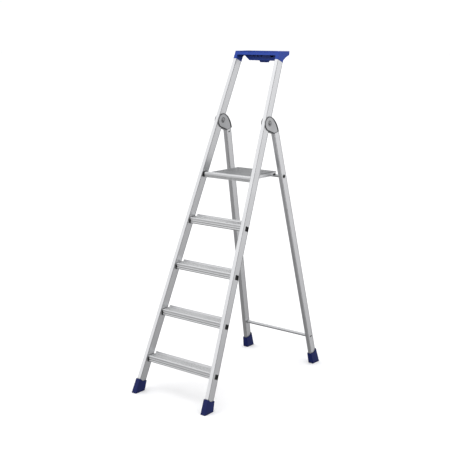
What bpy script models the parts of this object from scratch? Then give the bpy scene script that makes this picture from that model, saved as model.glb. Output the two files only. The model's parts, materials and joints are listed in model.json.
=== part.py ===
"""Folding step ladder with four treads, a platform, a tall handrail frame and a tool tray.

Metres, +Z up. The climber stands on the -Y side and faces +Y, so +X is on the climber's right.
The origin is at the centre of the ladder's box, on the floor.
"""

import math

import bmesh
import bpy
from mathutils import Vector

# Clearance between touching pieces
GAP = 0.0003

# Overall
DEPTH = 1.0129
SIDES = {"left": -1, "right": 1}

# Stiles: slanted box sections that narrow the ladder towards its top
STILE_LEAN = math.radians(22.9)
STILE_HALF_AT_FLOOR = 0.2421
STILE_TAPER = 0.0527
STILE_WIDTH = 0.020
STILE_DEPTH = 0.050
STILE_WALL = 0.0015
STILE_BOTTOM = 0.032
STILE_TOP = 1.834
CORNER_RADIUS = 0.003

# Treads, spaced along the stile
TREAD_PITCH = 0.250
FIRST_TREAD = 0.200
TREAD_COUNT = 4
TREAD_SETBACK = 0.010
TREAD_DEPTH = 0.062
TREAD_HEIGHT = 0.0325
TREAD_REAR_HEIGHT = 0.018
TREAD_UPSTAND = 0.0085
TREAD_UPSTAND_WALL = 0.0028
TREAD_UPSTAND_FILLET = 0.002
TREAD_UPSTAND_SLOPE = 0.005
TREAD_SKIN = 0.002
TREAD_RIB = 0.0008
TREAD_NOSE_RADIUS = 0.004
TREAD_LIP = 0.010

# Black brackets inside the tread's ends, with a square plug through the stile
FLANGE = 0.006
FLANGE_TOP = 0.009
PLUG_SIZE = 0.025
PLUG_BELOW_TREAD = 0.008
PLUG_DEPTH_CENTRE = 0.032
PLUG_PROUD = 0.0005
SPIGOT_LENGTH = 0.012

# Feet
FOOT_SIDE_WALL = 0.0056
FOOT_FRONT_WALL = 0.0042
FOOT_BACK_WALL = 0.009
FOOT_TOP = 0.0765
FOOT_TOP_WALL = 0.0042
FOOT_TOP_BACK_WALL = 0.003
FOOT_CORNER = 0.0035
REAR_FOOT_BACK_WALL = 0.0125
REAR_FOOT_FRONT_WALL = 0.0050
REAR_FOOT_TOP_FRONT = 1.3467
REAR_FOOT_TOP_BACK = 1.3367

# Hinge between the stiles and the rear legs
PIVOT_ALONG_STILE = 1.501
PIVOT_INTO_STILE = 0.037
PIN_RADIUS = 0.004
PIN_HEAD_RADIUS = 0.0085
PIN_HEAD_HEIGHT = 0.003
BUSH_RADIUS = 0.007
HOUSING_HALF = 0.0155
HOUSING_SLOT_HALF = 0.011
HOUSING_LEAN_IN = 0.051
HOUSING_ROUND = 0.037
HOUSING_ROUND_DOWN = 0.002
HOUSING_ROUND_FRONT = 0.002
HOUSING_BACK_REACH = 0.0718
HOUSING_END = 0.0627
HOUSING_RIM = 0.003
HOUSING_RIM_INSET = 0.004
STILE_CLEARANCE = 0.001
TONGUE_END = 0.097

# Rear legs
LEG_LEAN = math.radians(12.6)
LEG_HALF_AT_PIVOT = 0.1657
LEG_SPREAD = 0.0537
LEG_WIDTH = 0.021
LEG_DEPTH = 0.045
LEG_FRONT = 0.0248
LEG_WALL = 0.0015
LEG_END_ABOVE_FLOOR = 0.034

# Cross tubes between the rear legs
UPPER_TUBE_ALONG = 0.3032
UPPER_TUBE_RADIUS = 0.008
LOWER_TUBE_ALONG = 1.2482
LOWER_TUBE_RADIUS = 0.0085
TUBE_WALL = 0.0012
PLUG_HEAD_RADIUS = 0.0090
PLUG_HEAD_THICKNESS = 0.0015
PLUG_SPIGOT = 0.012
OVAL_LENGTH = 0.020
OVAL_HEIGHT = 0.0055
OVAL_BACK = 0.025
LUG_ALONG = 0.0795
LUG_LENGTH = 0.016
LUG_HEIGHT = 0.0045

# Platform
PLATFORM_DEPTH = 0.258
DECK_HALF = 0.1255
NOSING_HALF = 0.1505
NOSING_DEPTH = 0.022
NOSING_HEIGHT = 0.0275
DECK_SKIN = 0.0022
DECK_SIDE_HEIGHT = 0.023
DECK_REAR_HEIGHT = 0.011
DECK_SIDE_BACK = 0.238
DECK_RIB = 0.0007
DECK_RIB_PITCH = 0.008
PLATFORM_PIVOT_BACK = 0.0108
PLATFORM_PIVOT_DOWN = 0.0141
PLATFORM_PIN_RADIUS = 0.0037
BEARING_ABOVE_DECK = 0.0015
BEARING_CORNER = 0.008
BEARING_DEPTH = 0.034
HOOK_CENTRE = 0.108
HOOK_HALF = 0.011
HOOK_REACH = 0.0045

# Tool tray
TRAY_TOP = 1.729
TRAY_BAND_HEIGHT = 0.020
TRAY_FRONT_WALL = 0.003
TRAY_PLUG_LENGTH = 0.032
TRAY_REAR = 0.825
TRAY_BIN_FRONT = 0.770
TRAY_BIN_TOP_HALF = 0.1225
TRAY_BIN_FLOOR_HALF = 0.083
TRAY_BIN_FLOOR = 1.679
TRAY_SKIN = 0.003
TRAY_RECESS_HALF = 0.112
TRAY_HOLE_RADIUS = 0.0035
TRAY_HOLES = (-0.050, -0.025, 0.0)
TRAY_SLOT_CENTRE = 0.067
TRAY_SLOT_WIDTH = 0.020
TRAY_SLOT_HEIGHT = 0.009
TRAY_HOOK_HALF = 0.029
TRAY_HOOK_HEIGHT = 0.010
SCREW_RADIUS = 0.0021
SCREW_HEAD_RADIUS = 0.004
SCREW_ALONG_STILE = 1.818

ROUND_STEPS = 24
FRONT_Y = -DEPTH / 2 + FOOT_FRONT_WALL / math.cos(STILE_LEAN)


class Rail:
    """A slanted member. u is measured outwards from its outer face, t backwards, s along it."""

    def __init__(self, side, base, along, back, half, spread):
        self.side = side
        self.base = base
        self.along = along
        self.back = back
        self.half = half
        self.spread = spread

    def at(self, u, t, s):
        y = self.base[0] + s * self.along[0] + t * self.back[0]
        z = self.base[1] + s * self.along[1] + t * self.back[1]
        return Vector((self.side * (self.half + self.spread * s + u), y, z))

    def along_to_height(self, t, height):
        return (height - self.base[1] - t * self.back[1]) / self.along[1]


def stile_rail(side):
    along = (math.sin(STILE_LEAN), math.cos(STILE_LEAN))
    back = (math.cos(STILE_LEAN), -math.sin(STILE_LEAN))
    return Rail(side, (FRONT_Y, 0.0), along, back, STILE_HALF_AT_FLOOR, -STILE_TAPER)


PIVOT = stile_rail(0).at(0, PIVOT_INTO_STILE, PIVOT_ALONG_STILE)


def leg_rail(side):
    along = (math.sin(LEG_LEAN), -math.cos(LEG_LEAN))
    back = (math.cos(LEG_LEAN), math.sin(LEG_LEAN))
    return Rail(side, (PIVOT.y, PIVOT.z), along, back, LEG_HALF_AT_PIVOT, LEG_SPREAD)


def stile_inner_x(y, z):
    """Distance from the middle plane to a stile's inner face, at a height and a depth."""
    s = (y - FRONT_Y) * math.sin(STILE_LEAN) + z * math.cos(STILE_LEAN)
    return STILE_HALF_AT_FLOOR - STILE_TAPER * s - STILE_WIDTH


def step_front(number):
    """Height of a step's top and the depth of its front edge. Step 4 is the platform."""
    height = (FIRST_TREAD + TREAD_PITCH * number) * math.cos(STILE_LEAN)
    return FRONT_Y + height * math.tan(STILE_LEAN) + TREAD_SETBACK, height


PLATFORM_Y, PLATFORM_Z = step_front(TREAD_COUNT)
PLATFORM_PIVOT = Vector((0.0, PLATFORM_Y + PLATFORM_PIVOT_BACK, PLATFORM_Z - PLATFORM_PIVOT_DOWN))
UPPER_TUBE = leg_rail(0).at(0, LEG_FRONT + LEG_DEPTH / 2, UPPER_TUBE_ALONG)
LOWER_TUBE = leg_rail(0).at(0, LEG_FRONT + OVAL_BACK, LOWER_TUBE_ALONG)


# ---- Materials ----


def new_material(name, colour, metallic, roughness):
    made = bpy.data.materials.new(name)
    made.use_nodes = True
    shader = made.node_tree.nodes["Principled BSDF"]
    shader.inputs["Base Color"].default_value = (*colour, 1.0)
    shader.inputs["Metallic"].default_value = metallic
    shader.inputs["Roughness"].default_value = roughness
    made.diffuse_color = (*colour, 1.0)
    return made


def make_materials():
    return {
        "aluminium": new_material("aluminium", (0.78, 0.79, 0.80), 0.9, 0.38),
        "tread": new_material("tread_aluminium", (0.70, 0.71, 0.72), 0.9, 0.42),
        "deck": new_material("deck_aluminium", (0.45, 0.46, 0.47), 0.8, 0.5),
        "tray": new_material("tray_blue", (0.02, 0.07, 0.38), 0.0, 0.4),
        "foot": new_material("foot_blue", (0.012, 0.02, 0.14), 0.0, 0.5),
        "hinge": new_material("hinge_grey", (0.30, 0.31, 0.32), 0.2, 0.4),
        "black": new_material("black_plastic", (0.01, 0.01, 0.01), 0.0, 0.5),
        "steel": new_material("zinc_steel", (0.55, 0.55, 0.56), 1.0, 0.3),
    }


# ---- Shapes ----


def loft(loops):
    """A closed solid through loops of equally many points, capped at both ends."""
    shape = bmesh.new()
    rings = [[shape.verts.new(point) for point in loop] for loop in loops]
    count = len(rings[0])
    for lower, upper in zip(rings, rings[1:]):
        for i in range(count):
            j = (i + 1) % count
            shape.faces.new((lower[i], lower[j], upper[j], upper[i]))
    shape.faces.new(rings[0])
    shape.faces.new(rings[-1])
    bmesh.ops.recalc_face_normals(shape, faces=shape.faces)
    return shape


def pipe(outer_loops, inner_loops):
    """A closed solid with a bore: the outer and the inner loops are joined by a ring at each end."""
    shape = bmesh.new()
    outer = [[shape.verts.new(point) for point in loop] for loop in outer_loops]
    inner = [[shape.verts.new(point) for point in loop] for loop in inner_loops]
    count = len(outer[0])
    rings = (outer[0], outer[1], inner[1], inner[0], outer[0])
    for first, second in zip(rings, rings[1:]):
        for i in range(count):
            j = (i + 1) % count
            shape.faces.new((first[i], first[j], second[j], second[i]))
    bmesh.ops.recalc_face_normals(shape, faces=shape.faces)
    return shape


def rounded_rectangle(low, high, radius, steps=3):
    """Corner points of a rectangle with round corners, low and high being opposite corners."""
    points = []
    corners = ((high[0], high[1], 0), (low[0], high[1], 90), (low[0], low[1], 180), (high[0], low[1], 270))
    for x, y, start in corners:
        inward = (-radius if x == high[0] else radius, -radius if y == high[1] else radius)
        for i in range(steps + 1):
            angle = math.radians(start + 90 * i / steps)
            points.append((x + inward[0] + radius * math.cos(angle), y + inward[1] + radius * math.sin(angle)))
    return points


def circle(centre_y, centre_z, radius, steps=ROUND_STEPS):
    turns = [2 * math.pi * i / steps for i in range(steps)]
    return [(centre_y + radius * math.cos(a), centre_z + radius * math.sin(a)) for a in turns]


def across(outline, x_low, x_high):
    """A solid with a side outline of (y, z) points, from one x to another."""
    return loft([[(x, y, z) for y, z in outline] for x in (x_low, x_high)])


def block(low, high):
    outline = [(low[1], low[2]), (high[1], low[2]), (high[1], high[2]), (low[1], high[2])]
    return across(outline, low[0], high[0])


def turned(centre, stations):
    """A round solid about an axis along X, from stations of (x, radius)."""
    return loft([[(x, y, z) for y, z in circle(centre.y, centre.z, radius)] for x, radius in stations])


def bored_tube(centre, x_low, x_high, radius, bore):
    outer = [[(x, y, z) for y, z in circle(centre.y, centre.z, radius)] for x in (x_low, x_high)]
    inner = [[(x, y, z) for y, z in circle(centre.y, centre.z, bore)] for x in (x_low, x_high)]
    return pipe(outer, inner)


def on_rail(rail, outline, s_low, s_high):
    """A solid with a (u, t) section, swept along a rail."""
    return loft([[rail.at(u, t, s) for u, t in outline] for s in (s_low, s_high)])


def rectangle(low, high):
    return [(low[0], low[1]), (high[0], low[1]), (high[0], high[1]), (low[0], high[1])]


# ---- Objects ----


def add_object(name, shape, origin, parent=None):
    bmesh.ops.translate(shape, verts=shape.verts, vec=-Vector(origin))
    mesh = bpy.data.meshes.new(name)
    shape.to_mesh(mesh)
    shape.free()
    made = bpy.data.objects.new(name, mesh)
    bpy.context.scene.collection.objects.link(made)
    made.parent = parent
    made.location = Vector(origin) - (parent.location if parent else Vector())
    return made


def add_part(name, shape, material, origin, parent=None):
    part = add_object(name, shape, origin, parent)
    part.data.materials.append(material)
    part.data.shade_smooth()
    part.data.set_sharp_from_angle(angle=math.radians(35))
    return part


def combine(part, shape, operation):
    """Joins a helper shape to a part, or cuts it away."""
    helper = add_object(part.name + "_helper", shape, (0.0, 0.0, 0.0))
    helper.hide_render = True
    helper.display_type = "WIRE"
    modifier = part.modifiers.new(operation.lower(), "BOOLEAN")
    modifier.operation = operation
    modifier.solver = "EXACT"
    modifier.object = helper


def join(part, shape):
    combine(part, shape, "UNION")


def cut(part, shape):
    combine(part, shape, "DIFFERENCE")


def add_axis(name, location):
    axis = bpy.data.objects.new(name, None)
    axis.location = location
    bpy.context.scene.collection.objects.link(axis)
    return axis


# ---- Front frame ----


def add_stile(name, side, materials):
    rail = stile_rail(side)
    outer = rounded_rectangle((-STILE_WIDTH, 0.0), (0.0, STILE_DEPTH), CORNER_RADIUS)
    inner = rounded_rectangle(
        (STILE_WALL - STILE_WIDTH, STILE_WALL),
        (-STILE_WALL, STILE_DEPTH - STILE_WALL),
        CORNER_RADIUS - STILE_WALL,
    )
    ends = (STILE_BOTTOM, STILE_TOP)
    shape = pipe(
        [[rail.at(u, t, s) for u, t in outer] for s in ends],
        [[rail.at(u, t, s) for u, t in inner] for s in ends],
    )
    stile = add_part("stile_" + name, shape, materials["aluminium"], rail.at(0, 0, STILE_BOTTOM))
    for number in range(TREAD_COUNT):
        cut(stile, plug_shape(rail, number, GAP, -STILE_WIDTH - 0.002, 0.002))
    cut(stile, pin_bore(side, PIVOT, PIN_RADIUS + GAP, 0.125, 0.185))
    inner_x = stile_inner_x(PLATFORM_PIVOT.y, PLATFORM_PIVOT.z)
    cut(stile, pin_bore(side, PLATFORM_PIVOT, PLATFORM_PIN_RADIUS + GAP, inner_x - 0.006, inner_x + 0.008))
    cut(stile, screw_shape(rail, SCREW_RADIUS + GAP, SCREW_RADIUS + GAP))


def pin_bore(side, centre, radius, x_low, x_high):
    return turned(centre, [(side * x_low, radius), (side * x_high, radius)])


def plug_shape(rail, number, grow, u_low, u_high):
    """The square plug of one tread bracket, aligned with the stile."""
    s_centre = FIRST_TREAD + TREAD_PITCH * number - PLUG_BELOW_TREAD
    reach = PLUG_SIZE / 2 + grow
    outline = rectangle((u_low, PLUG_DEPTH_CENTRE - reach), (u_high, PLUG_DEPTH_CENTRE + reach))
    return on_rail(rail, outline, s_centre - reach, s_centre + reach)


def at_tread_end(side, outline, inwards):
    """A (y, z) outline on a plane parallel to the stile's inner face, a distance inside the tread's end."""
    return [(side * (stile_inner_x(y, z) - GAP - inwards), y, z) for y, z in outline]


def ribbed_line(start, end, pitch, depth, z):
    """Top edge points of a ribbed surface, from the front to the back, at height z."""
    count = int((end - start) / pitch)
    margin = ((end - start) - count * pitch) / 2
    points = []
    for i in range(count):
        y = start + margin + i * pitch
        points += [(y + pitch * 0.3, z), (y + pitch * 0.4, z - depth)]
        points += [(y + pitch * 0.8, z - depth), (y + pitch * 0.9, z)]
    return points


def tread_outline(y, z):
    """Side outline of the open-bottomed tread section, from the front bottom edge round the top."""
    back = y + TREAD_DEPTH
    low = z - TREAD_HEIGHT
    rear_low = z - TREAD_REAR_HEIGHT
    points = [(y, low)]
    for height in (0.007, 0.012, 0.017):
        points += [(y, low + height), (y + TREAD_RIB, low + height + 0.0004)]
        points += [(y + TREAD_RIB, low + height + 0.0016), (y, low + height + 0.0020)]
    for i in range(5):
        angle = math.radians(180 - 22.5 * i)
        radius = TREAD_NOSE_RADIUS
        points.append((y + radius + radius * math.cos(angle), z - radius + radius * math.sin(angle)))
    wall, fillet = back - TREAD_UPSTAND_WALL, TREAD_UPSTAND_FILLET
    points += ribbed_line(y + TREAD_NOSE_RADIUS, wall - fillet - 0.001, 0.006, TREAD_RIB, z)
    points += [(wall - fillet, z), (wall - 0.3 * fillet, z + 0.3 * fillet), (wall, z + fillet)]
    points += [(wall, z + TREAD_UPSTAND - 0.0007), (wall + 0.0007, z + TREAD_UPSTAND)]
    points += [(back - 0.0007, z + TREAD_UPSTAND), (back, z + TREAD_UPSTAND - 0.0007), (back, rear_low)]
    points += [(back - TREAD_LIP, rear_low), (back - TREAD_LIP, rear_low + TREAD_SKIN)]
    points += [(back - TREAD_SKIN, rear_low + TREAD_SKIN), (back - TREAD_SKIN, z - TREAD_SKIN - TREAD_RIB)]
    inner_front = y + TREAD_SKIN + TREAD_RIB
    points += [(inner_front, z - TREAD_SKIN - TREAD_RIB), (inner_front, low + TREAD_SKIN)]
    points += [(y + TREAD_LIP, low + TREAD_SKIN), (y + TREAD_LIP, low)]
    return points


def flange_outline(y, z):
    """Side outline of a bracket's flange, which shows only where the tread's front wall is notched."""
    front, back = y + TREAD_RIB, y + TREAD_DEPTH - TREAD_SKIN - GAP
    wall = y + TREAD_SKIN + TREAD_RIB + GAP
    low, top = z - TREAD_HEIGHT, z - TREAD_SKIN - TREAD_RIB - GAP
    rear_low = z - TREAD_REAR_HEIGHT + TREAD_SKIN + GAP
    points = [(front, low), (y + TREAD_DEPTH / 2, low), (y + TREAD_DEPTH - TREAD_LIP - GAP, rear_low)]
    points += [(back, rear_low), (back, top), (wall, top)]
    points += [(wall, z - FLANGE_TOP - GAP), (front, z - FLANGE_TOP - GAP)]
    return points


def add_tread(number, materials):
    y, z = step_front(number)
    outline = tread_outline(y, z)
    shape = loft([at_tread_end(side, outline, 0.0) for side in (-1, 1)])
    tread = add_part(f"tread_{number + 1}", shape, materials["tread"], (0, y, z))
    notch = rectangle((y - 0.001, z - TREAD_HEIGHT - 0.001), (y + TREAD_LIP + 0.001, z - FLANGE_TOP))
    for side in SIDES.values():
        cut(tread, loft([at_tread_end(side, notch, inwards) for inwards in (FLANGE + GAP, -0.001)]))
        cut(tread, upstand_slope(side, y, z))


def upstand_slope(side, y, z):
    """The wedge that slopes one end of the rear upstand."""
    back, start, top = y + TREAD_DEPTH, z + TREAD_UPSTAND_FILLET, z + TREAD_UPSTAND + 0.001
    end = stile_inner_x(back, z) + 0.002
    slope = [(end, start), (end, top), (end - 0.0025 - TREAD_UPSTAND_SLOPE, top)]
    return loft([[(side * x, depth, height) for x, height in slope] for depth in (back - 0.006, back + 0.002)])


def add_tread_bracket(number, name, side, materials):
    """Flange inside the tread's end, a plug through the stile and a spigot further into the tread."""
    y, z = step_front(number)
    rail = stile_rail(side)
    root = stile_inner_x(y + TREAD_DEPTH, z) - 0.002
    outline = flange_outline(y, z)
    shape = loft([at_tread_end(side, outline, inwards) for inwards in (FLANGE, 0.0)])
    bracket = add_part(f"tread_bracket_{number + 1}_{name}", shape, materials["black"], (side * root, y, z))
    join(bracket, plug_shape(rail, number, 0.0, -STILE_WIDTH - 0.002, PLUG_PROUD))
    skin = TREAD_SKIN + TREAD_RIB + GAP
    low = (side * root, y + skin, z - TREAD_REAR_HEIGHT + TREAD_SKIN + GAP)
    high = (side * (root - FLANGE - SPIGOT_LENGTH), y + TREAD_DEPTH - skin, z - skin)
    join(bracket, block(low, high))


def screw_shape(rail, shank, head):
    """A screw that runs forwards through the back of the stile into the tray's plug."""
    s, middle = SCREW_ALONG_STILE, -STILE_WIDTH / 2
    seat = STILE_DEPTH + GAP
    stations = ((0.040, shank), (seat, shank), (seat, head), (seat + 0.002, head))
    loops = []
    for t, radius in stations:
        loops.append([rail.at(middle + u, t, s + v) for u, v in circle(0, 0, radius, 12)])
    if shank == head:
        loops = [loops[0], loops[-1]]
    return loft(loops)


def foot_shape(rail, walls, top_walls, width, depth, front, tops):
    """A cap round the end of a rail, flat on the floor. walls is side, front and back."""
    bottom = rounded_rectangle(
        (-width - walls[0], front - walls[1]), (walls[0], front + depth + walls[2]), FOOT_CORNER
    )
    top = rounded_rectangle(
        (-width - top_walls[0], front - top_walls[1]), (top_walls[0], front + depth + top_walls[2]), FOOT_CORNER
    )
    floor_loop = [rail.at(u, t, rail.along_to_height(t, 0.0)) for u, t in bottom]
    top_loop = [rail.at(u, t, tops[0] + (tops[1] - tops[0]) * (t - front) / depth) for u, t in top]
    return loft([floor_loop, top_loop])


def add_front_foot(name, side, materials):
    rail = stile_rail(side)
    walls = (FOOT_SIDE_WALL, FOOT_FRONT_WALL, FOOT_BACK_WALL)
    top_walls = (FOOT_TOP_WALL, FOOT_FRONT_WALL, FOOT_TOP_BACK_WALL)
    shape = foot_shape(rail, walls, top_walls, STILE_WIDTH, STILE_DEPTH, 0.0, (FOOT_TOP, FOOT_TOP))
    foot = add_part("front_foot_" + name, shape, materials["foot"], rail.at(0, 0, 0))
    pocket = rectangle((-STILE_WIDTH - GAP, -GAP), (GAP, STILE_DEPTH + GAP))
    cut(foot, on_rail(rail, pocket, STILE_BOTTOM - GAP, FOOT_TOP + 0.02))


def add_tray_screw(name, side, materials):
    rail = stile_rail(side)
    shape = screw_shape(rail, SCREW_RADIUS, SCREW_HEAD_RADIUS)
    origin = rail.at(-STILE_WIDTH / 2, STILE_DEPTH, SCREW_ALONG_STILE)
    add_part("tray_screw_" + name, shape, materials["steel"], origin)


def add_hinge_pin(name, side, materials):
    """A shouldered rivet through both cheeks and the stile."""
    middle = STILE_HALF_AT_FLOOR - STILE_TAPER * PIVOT_ALONG_STILE - STILE_WIDTH / 2
    seat = HOUSING_HALF + HOUSING_LEAN_IN * PIN_HEAD_RADIUS + GAP
    stations = []
    for end in (-1, 1):
        head = [(0.0055, PIN_HEAD_HEIGHT), (PIN_HEAD_RADIUS, 0.0015), (PIN_HEAD_RADIUS, 0.0), (PIN_RADIUS, 0.0)]
        run = [(side * (middle + end * (seat + height)), radius) for radius, height in head]
        stations += run if end < 0 else run[::-1]
    origin = (side * middle, PIVOT.y, PIVOT.z)
    add_part("hinge_pin_" + name, turned(PIVOT, stations), materials["steel"], origin)


def add_hinge_bush(name, side, materials):
    """A spacer tube inside the stile, so that the rivet can't crush it."""
    middle = STILE_HALF_AT_FLOOR - STILE_TAPER * PIVOT_ALONG_STILE - STILE_WIDTH / 2
    half = STILE_WIDTH / 2 - STILE_WALL - GAP - STILE_TAPER * BUSH_RADIUS
    shape = bored_tube(PIVOT, side * (middle - half), side * (middle + half), BUSH_RADIUS, PIN_RADIUS + GAP)
    add_part("hinge_bush_" + name, shape, materials["steel"], (side * middle, PIVOT.y, PIVOT.z))


def add_platform_bearing(name, side, materials):
    """The block on the stile's inner face that the platform's pin turns in."""
    low_y, high_y = PLATFORM_Y + 0.0005, PLATFORM_Y + 0.0005 + BEARING_DEPTH
    low_z, high_z = PLATFORM_Z - NOSING_HEIGHT, PLATFORM_Z + BEARING_ABOVE_DECK
    corners = rounded_rectangle((low_y, low_z), (high_y, high_z), BEARING_CORNER)
    inside = [(side * (NOSING_HALF + GAP), y, z) for y, z in corners]
    outside = [(side * (stile_inner_x(y, z) - GAP), y, z) for y, z in corners]
    origin = (side * NOSING_HALF, PLATFORM_PIVOT.y, PLATFORM_PIVOT.z)
    bearing = add_part("platform_bearing_" + name, loft([inside, outside]), materials["black"], origin)
    cut(bearing, pin_bore(side, PLATFORM_PIVOT, PLATFORM_PIN_RADIUS + GAP, 0.14, 0.17))


def add_platform_pin(name, side, materials):
    """A pin with its head inside the hollow stile, through the bearing into the nosing."""
    head = stile_inner_x(PLATFORM_PIVOT.y, PLATFORM_PIVOT.z) + STILE_WALL + 2 * GAP + 0.0003
    radius = PLATFORM_PIN_RADIUS
    stations = [(NOSING_HALF - 0.025, radius), (head, radius), (head, 0.006), (head + 0.002, 0.006)]
    shape = turned(PLATFORM_PIVOT, [(side * x, r) for x, r in stations])
    origin = (side * NOSING_HALF, PLATFORM_PIVOT.y, PLATFORM_PIVOT.z)
    add_part("platform_pin_" + name, shape, materials["steel"], origin)


# ---- Tool tray ----


def tray_front_y(height, t=0.0):
    """Depth of the tray's slanted front at a height, flush with the stiles' fronts."""
    return FRONT_Y + (t + height * math.sin(STILE_LEAN)) / math.cos(STILE_LEAN)


def tray_outer_x(y, z):
    return stile_inner_x(y, z) + STILE_WIDTH


def between_sides(outline, inset=0.0):
    """A solid between the tray's two slanted sides, from a side outline of (y, z) points."""
    return loft([[(side * (tray_outer_x(y, z) - inset), y, z) for y, z in outline] for side in (-1, 1)])


def tapered_bin(inset, top, floor):
    """The bin's outer shape or, with an inset, the space inside it."""
    front, back = FRONT_Y + TRAY_BIN_FRONT + inset, FRONT_Y + TRAY_REAR - 0.002 - inset
    slope = (TRAY_BIN_TOP_HALF - TRAY_BIN_FLOOR_HALF) / (TRAY_TOP - TRAY_BAND_HEIGHT - TRAY_BIN_FLOOR)
    loops = []
    for z in (floor, top):
        half = TRAY_BIN_FLOOR_HALF - inset + slope * max(0.0, z - TRAY_BIN_FLOOR)
        half = min(half, TRAY_BIN_TOP_HALF - inset)
        loops.append([(x, y, z) for x, y in rectangle((-half, front), (half, back))])
    return loft(loops)


def add_tray(materials):
    band_low = TRAY_TOP - TRAY_BAND_HEIGHT
    rear = FRONT_Y + TRAY_REAR
    slab = [(tray_front_y(band_low), band_low), (tray_front_y(TRAY_TOP), TRAY_TOP)]
    slab += [(rear, TRAY_TOP), (rear - 0.003, band_low)]
    tray = add_part("tool_tray", between_sides(slab), materials["tray"], (0, rear, TRAY_TOP))
    add_tray_posts(tray)
    join(tray, tapered_bin(0.0, band_low + 0.002, TRAY_BIN_FLOOR))
    add_tray_hook(tray)
    cut(tray, tapered_bin(TRAY_SKIN, band_low, TRAY_BIN_FLOOR + TRAY_SKIN))
    cut_tray_top(tray, band_low)
    cut_tray_front(tray, band_low)
    for side in SIDES.values():
        cut(tray, screw_shape(stile_rail(side), SCREW_RADIUS + GAP, SCREW_RADIUS + GAP))


def add_tray_posts(tray):
    """A post on each stile's top, with a plug inside the stile and a gusset to the tray's rear edge."""
    top, bottom = TRAY_TOP - 0.001, STILE_TOP + GAP
    inside = STILE_WALL + GAP
    plug = rounded_rectangle(
        (inside - STILE_WIDTH, inside), (-inside, STILE_DEPTH - inside), CORNER_RADIUS - inside
    )
    for side in SIDES.values():
        rail = stile_rail(side)
        outline = rectangle((-STILE_WIDTH, 0.0), (-0.0001, STILE_DEPTH))
        low = [rail.at(u, t, bottom) for u, t in outline]
        high = [rail.at(u, t, rail.along_to_height(t, top)) for u, t in outline]
        join(tray, loft([low, high]))
        join(tray, on_rail(rail, plug, bottom - TRAY_PLUG_LENGTH, bottom + 0.004))
        near = rail.at(0, STILE_DEPTH - 0.001, bottom + 0.012)
        far_y = FRONT_Y + TRAY_REAR - 0.004
        high_z = TRAY_TOP - TRAY_BAND_HEIGHT + 0.003
        gusset = [(near.y, near.z), (far_y, high_z - 0.004), (far_y, high_z), (near.y, high_z)]
        faces = [[(side * (tray_outer_x(y, z) - inset), y, z) for y, z in gusset] for inset in (0.0002, 0.005)]
        join(tray, loft(faces))


def add_tray_hook(tray):
    """A two-pronged hook under the bin, for a bucket or a bag."""
    middle = FRONT_Y + (TRAY_BIN_FRONT + TRAY_REAR) / 2
    low, high = TRAY_BIN_FLOOR - TRAY_HOOK_HEIGHT, TRAY_BIN_FLOOR + 0.001
    foot = TRAY_HOOK_HALF - 0.007
    outline = [(-TRAY_HOOK_HALF, high), (-foot, low), (-0.004, low), (-0.004, low + 0.004)]
    outline += [(0.004, low + 0.004), (0.004, low), (foot, low), (TRAY_HOOK_HALF, high)]
    join(tray, loft([[(x, y, z) for x, z in outline] for y in (middle - 0.009, middle + 0.009)]))


def cut_tray_top(tray, band_low):
    """Opens the tray: the shallow front ledge, then the deep bin behind it."""
    floor, above = band_low + 0.004, TRAY_TOP + 0.01
    front = TRAY_FRONT_WALL
    ledge = [(tray_front_y(floor, front), floor), (tray_front_y(above, front), above)]
    ledge += [(FRONT_Y + TRAY_BIN_FRONT + 0.005, above), (FRONT_Y + TRAY_BIN_FRONT + 0.005, floor)]
    cut(tray, across(ledge, -TRAY_RECESS_HALF, TRAY_RECESS_HALF))
    half = TRAY_BIN_TOP_HALF - TRAY_SKIN
    low = (-half, FRONT_Y + TRAY_BIN_FRONT + TRAY_SKIN, band_low - 0.0005)
    cut(tray, block(low, (half, FRONT_Y + TRAY_REAR - 0.002 - TRAY_SKIN, above)))


def cut_tray_front(tray, band_low):
    """Three round holes and a slot through the bin's front wall, below the band."""
    y_low, y_high = FRONT_Y + TRAY_BIN_FRONT - 0.004, FRONT_Y + TRAY_BIN_FRONT + 0.006
    z = band_low - 0.0055
    for x in TRAY_HOLES:
        outline = [(x + a, z + b) for a, b in circle(0, 0, TRAY_HOLE_RADIUS, 12)]
        cut(tray, loft([[(a, y, b) for a, b in outline] for y in (y_low, y_high)]))
    half, height = TRAY_SLOT_WIDTH / 2, TRAY_SLOT_HEIGHT / 2
    low = (TRAY_SLOT_CENTRE - half, y_low, z - height - 0.001)
    cut(tray, block(low, (TRAY_SLOT_CENTRE + half, y_high, z + height - 0.001)))


# ---- Rear frame ----


def add_rear_leg(name, side, materials, axis):
    rail = leg_rail(side)
    back = LEG_FRONT + LEG_DEPTH
    outer = rounded_rectangle((-LEG_WIDTH, LEG_FRONT), (0.0, back), CORNER_RADIUS)
    inner = rounded_rectangle(
        (LEG_WALL - LEG_WIDTH, LEG_FRONT + LEG_WALL), (-LEG_WALL, back - LEG_WALL), CORNER_RADIUS - LEG_WALL
    )
    ends = (HOUSING_END + GAP, leg_end(rail))
    shape = pipe(
        [[rail.at(u, t, s) for u, t in outer] for s in ends],
        [[rail.at(u, t, s) for u, t in inner] for s in ends],
    )
    origin = rail.at(0, LEG_FRONT, ends[0])
    leg = add_part("rear_leg_" + name, shape, materials["aluminium"], origin, axis)
    cut(leg, pin_bore(side, UPPER_TUBE, UPPER_TUBE_RADIUS + GAP, 0.15, 0.20))
    cut(leg, oval_shape(rail, LOWER_TUBE_ALONG, OVAL_LENGTH, OVAL_HEIGHT, GAP, (-LEG_WIDTH - 0.002, 0.002)))
    cut(leg, oval_shape(rail, LUG_ALONG, LUG_LENGTH, LUG_HEIGHT, GAP, (-LEG_WIDTH - 0.002, -LEG_WIDTH / 2)))


def leg_end(rail):
    return rail.along_to_height(LEG_FRONT, LEG_END_ABOVE_FLOOR)


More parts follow.
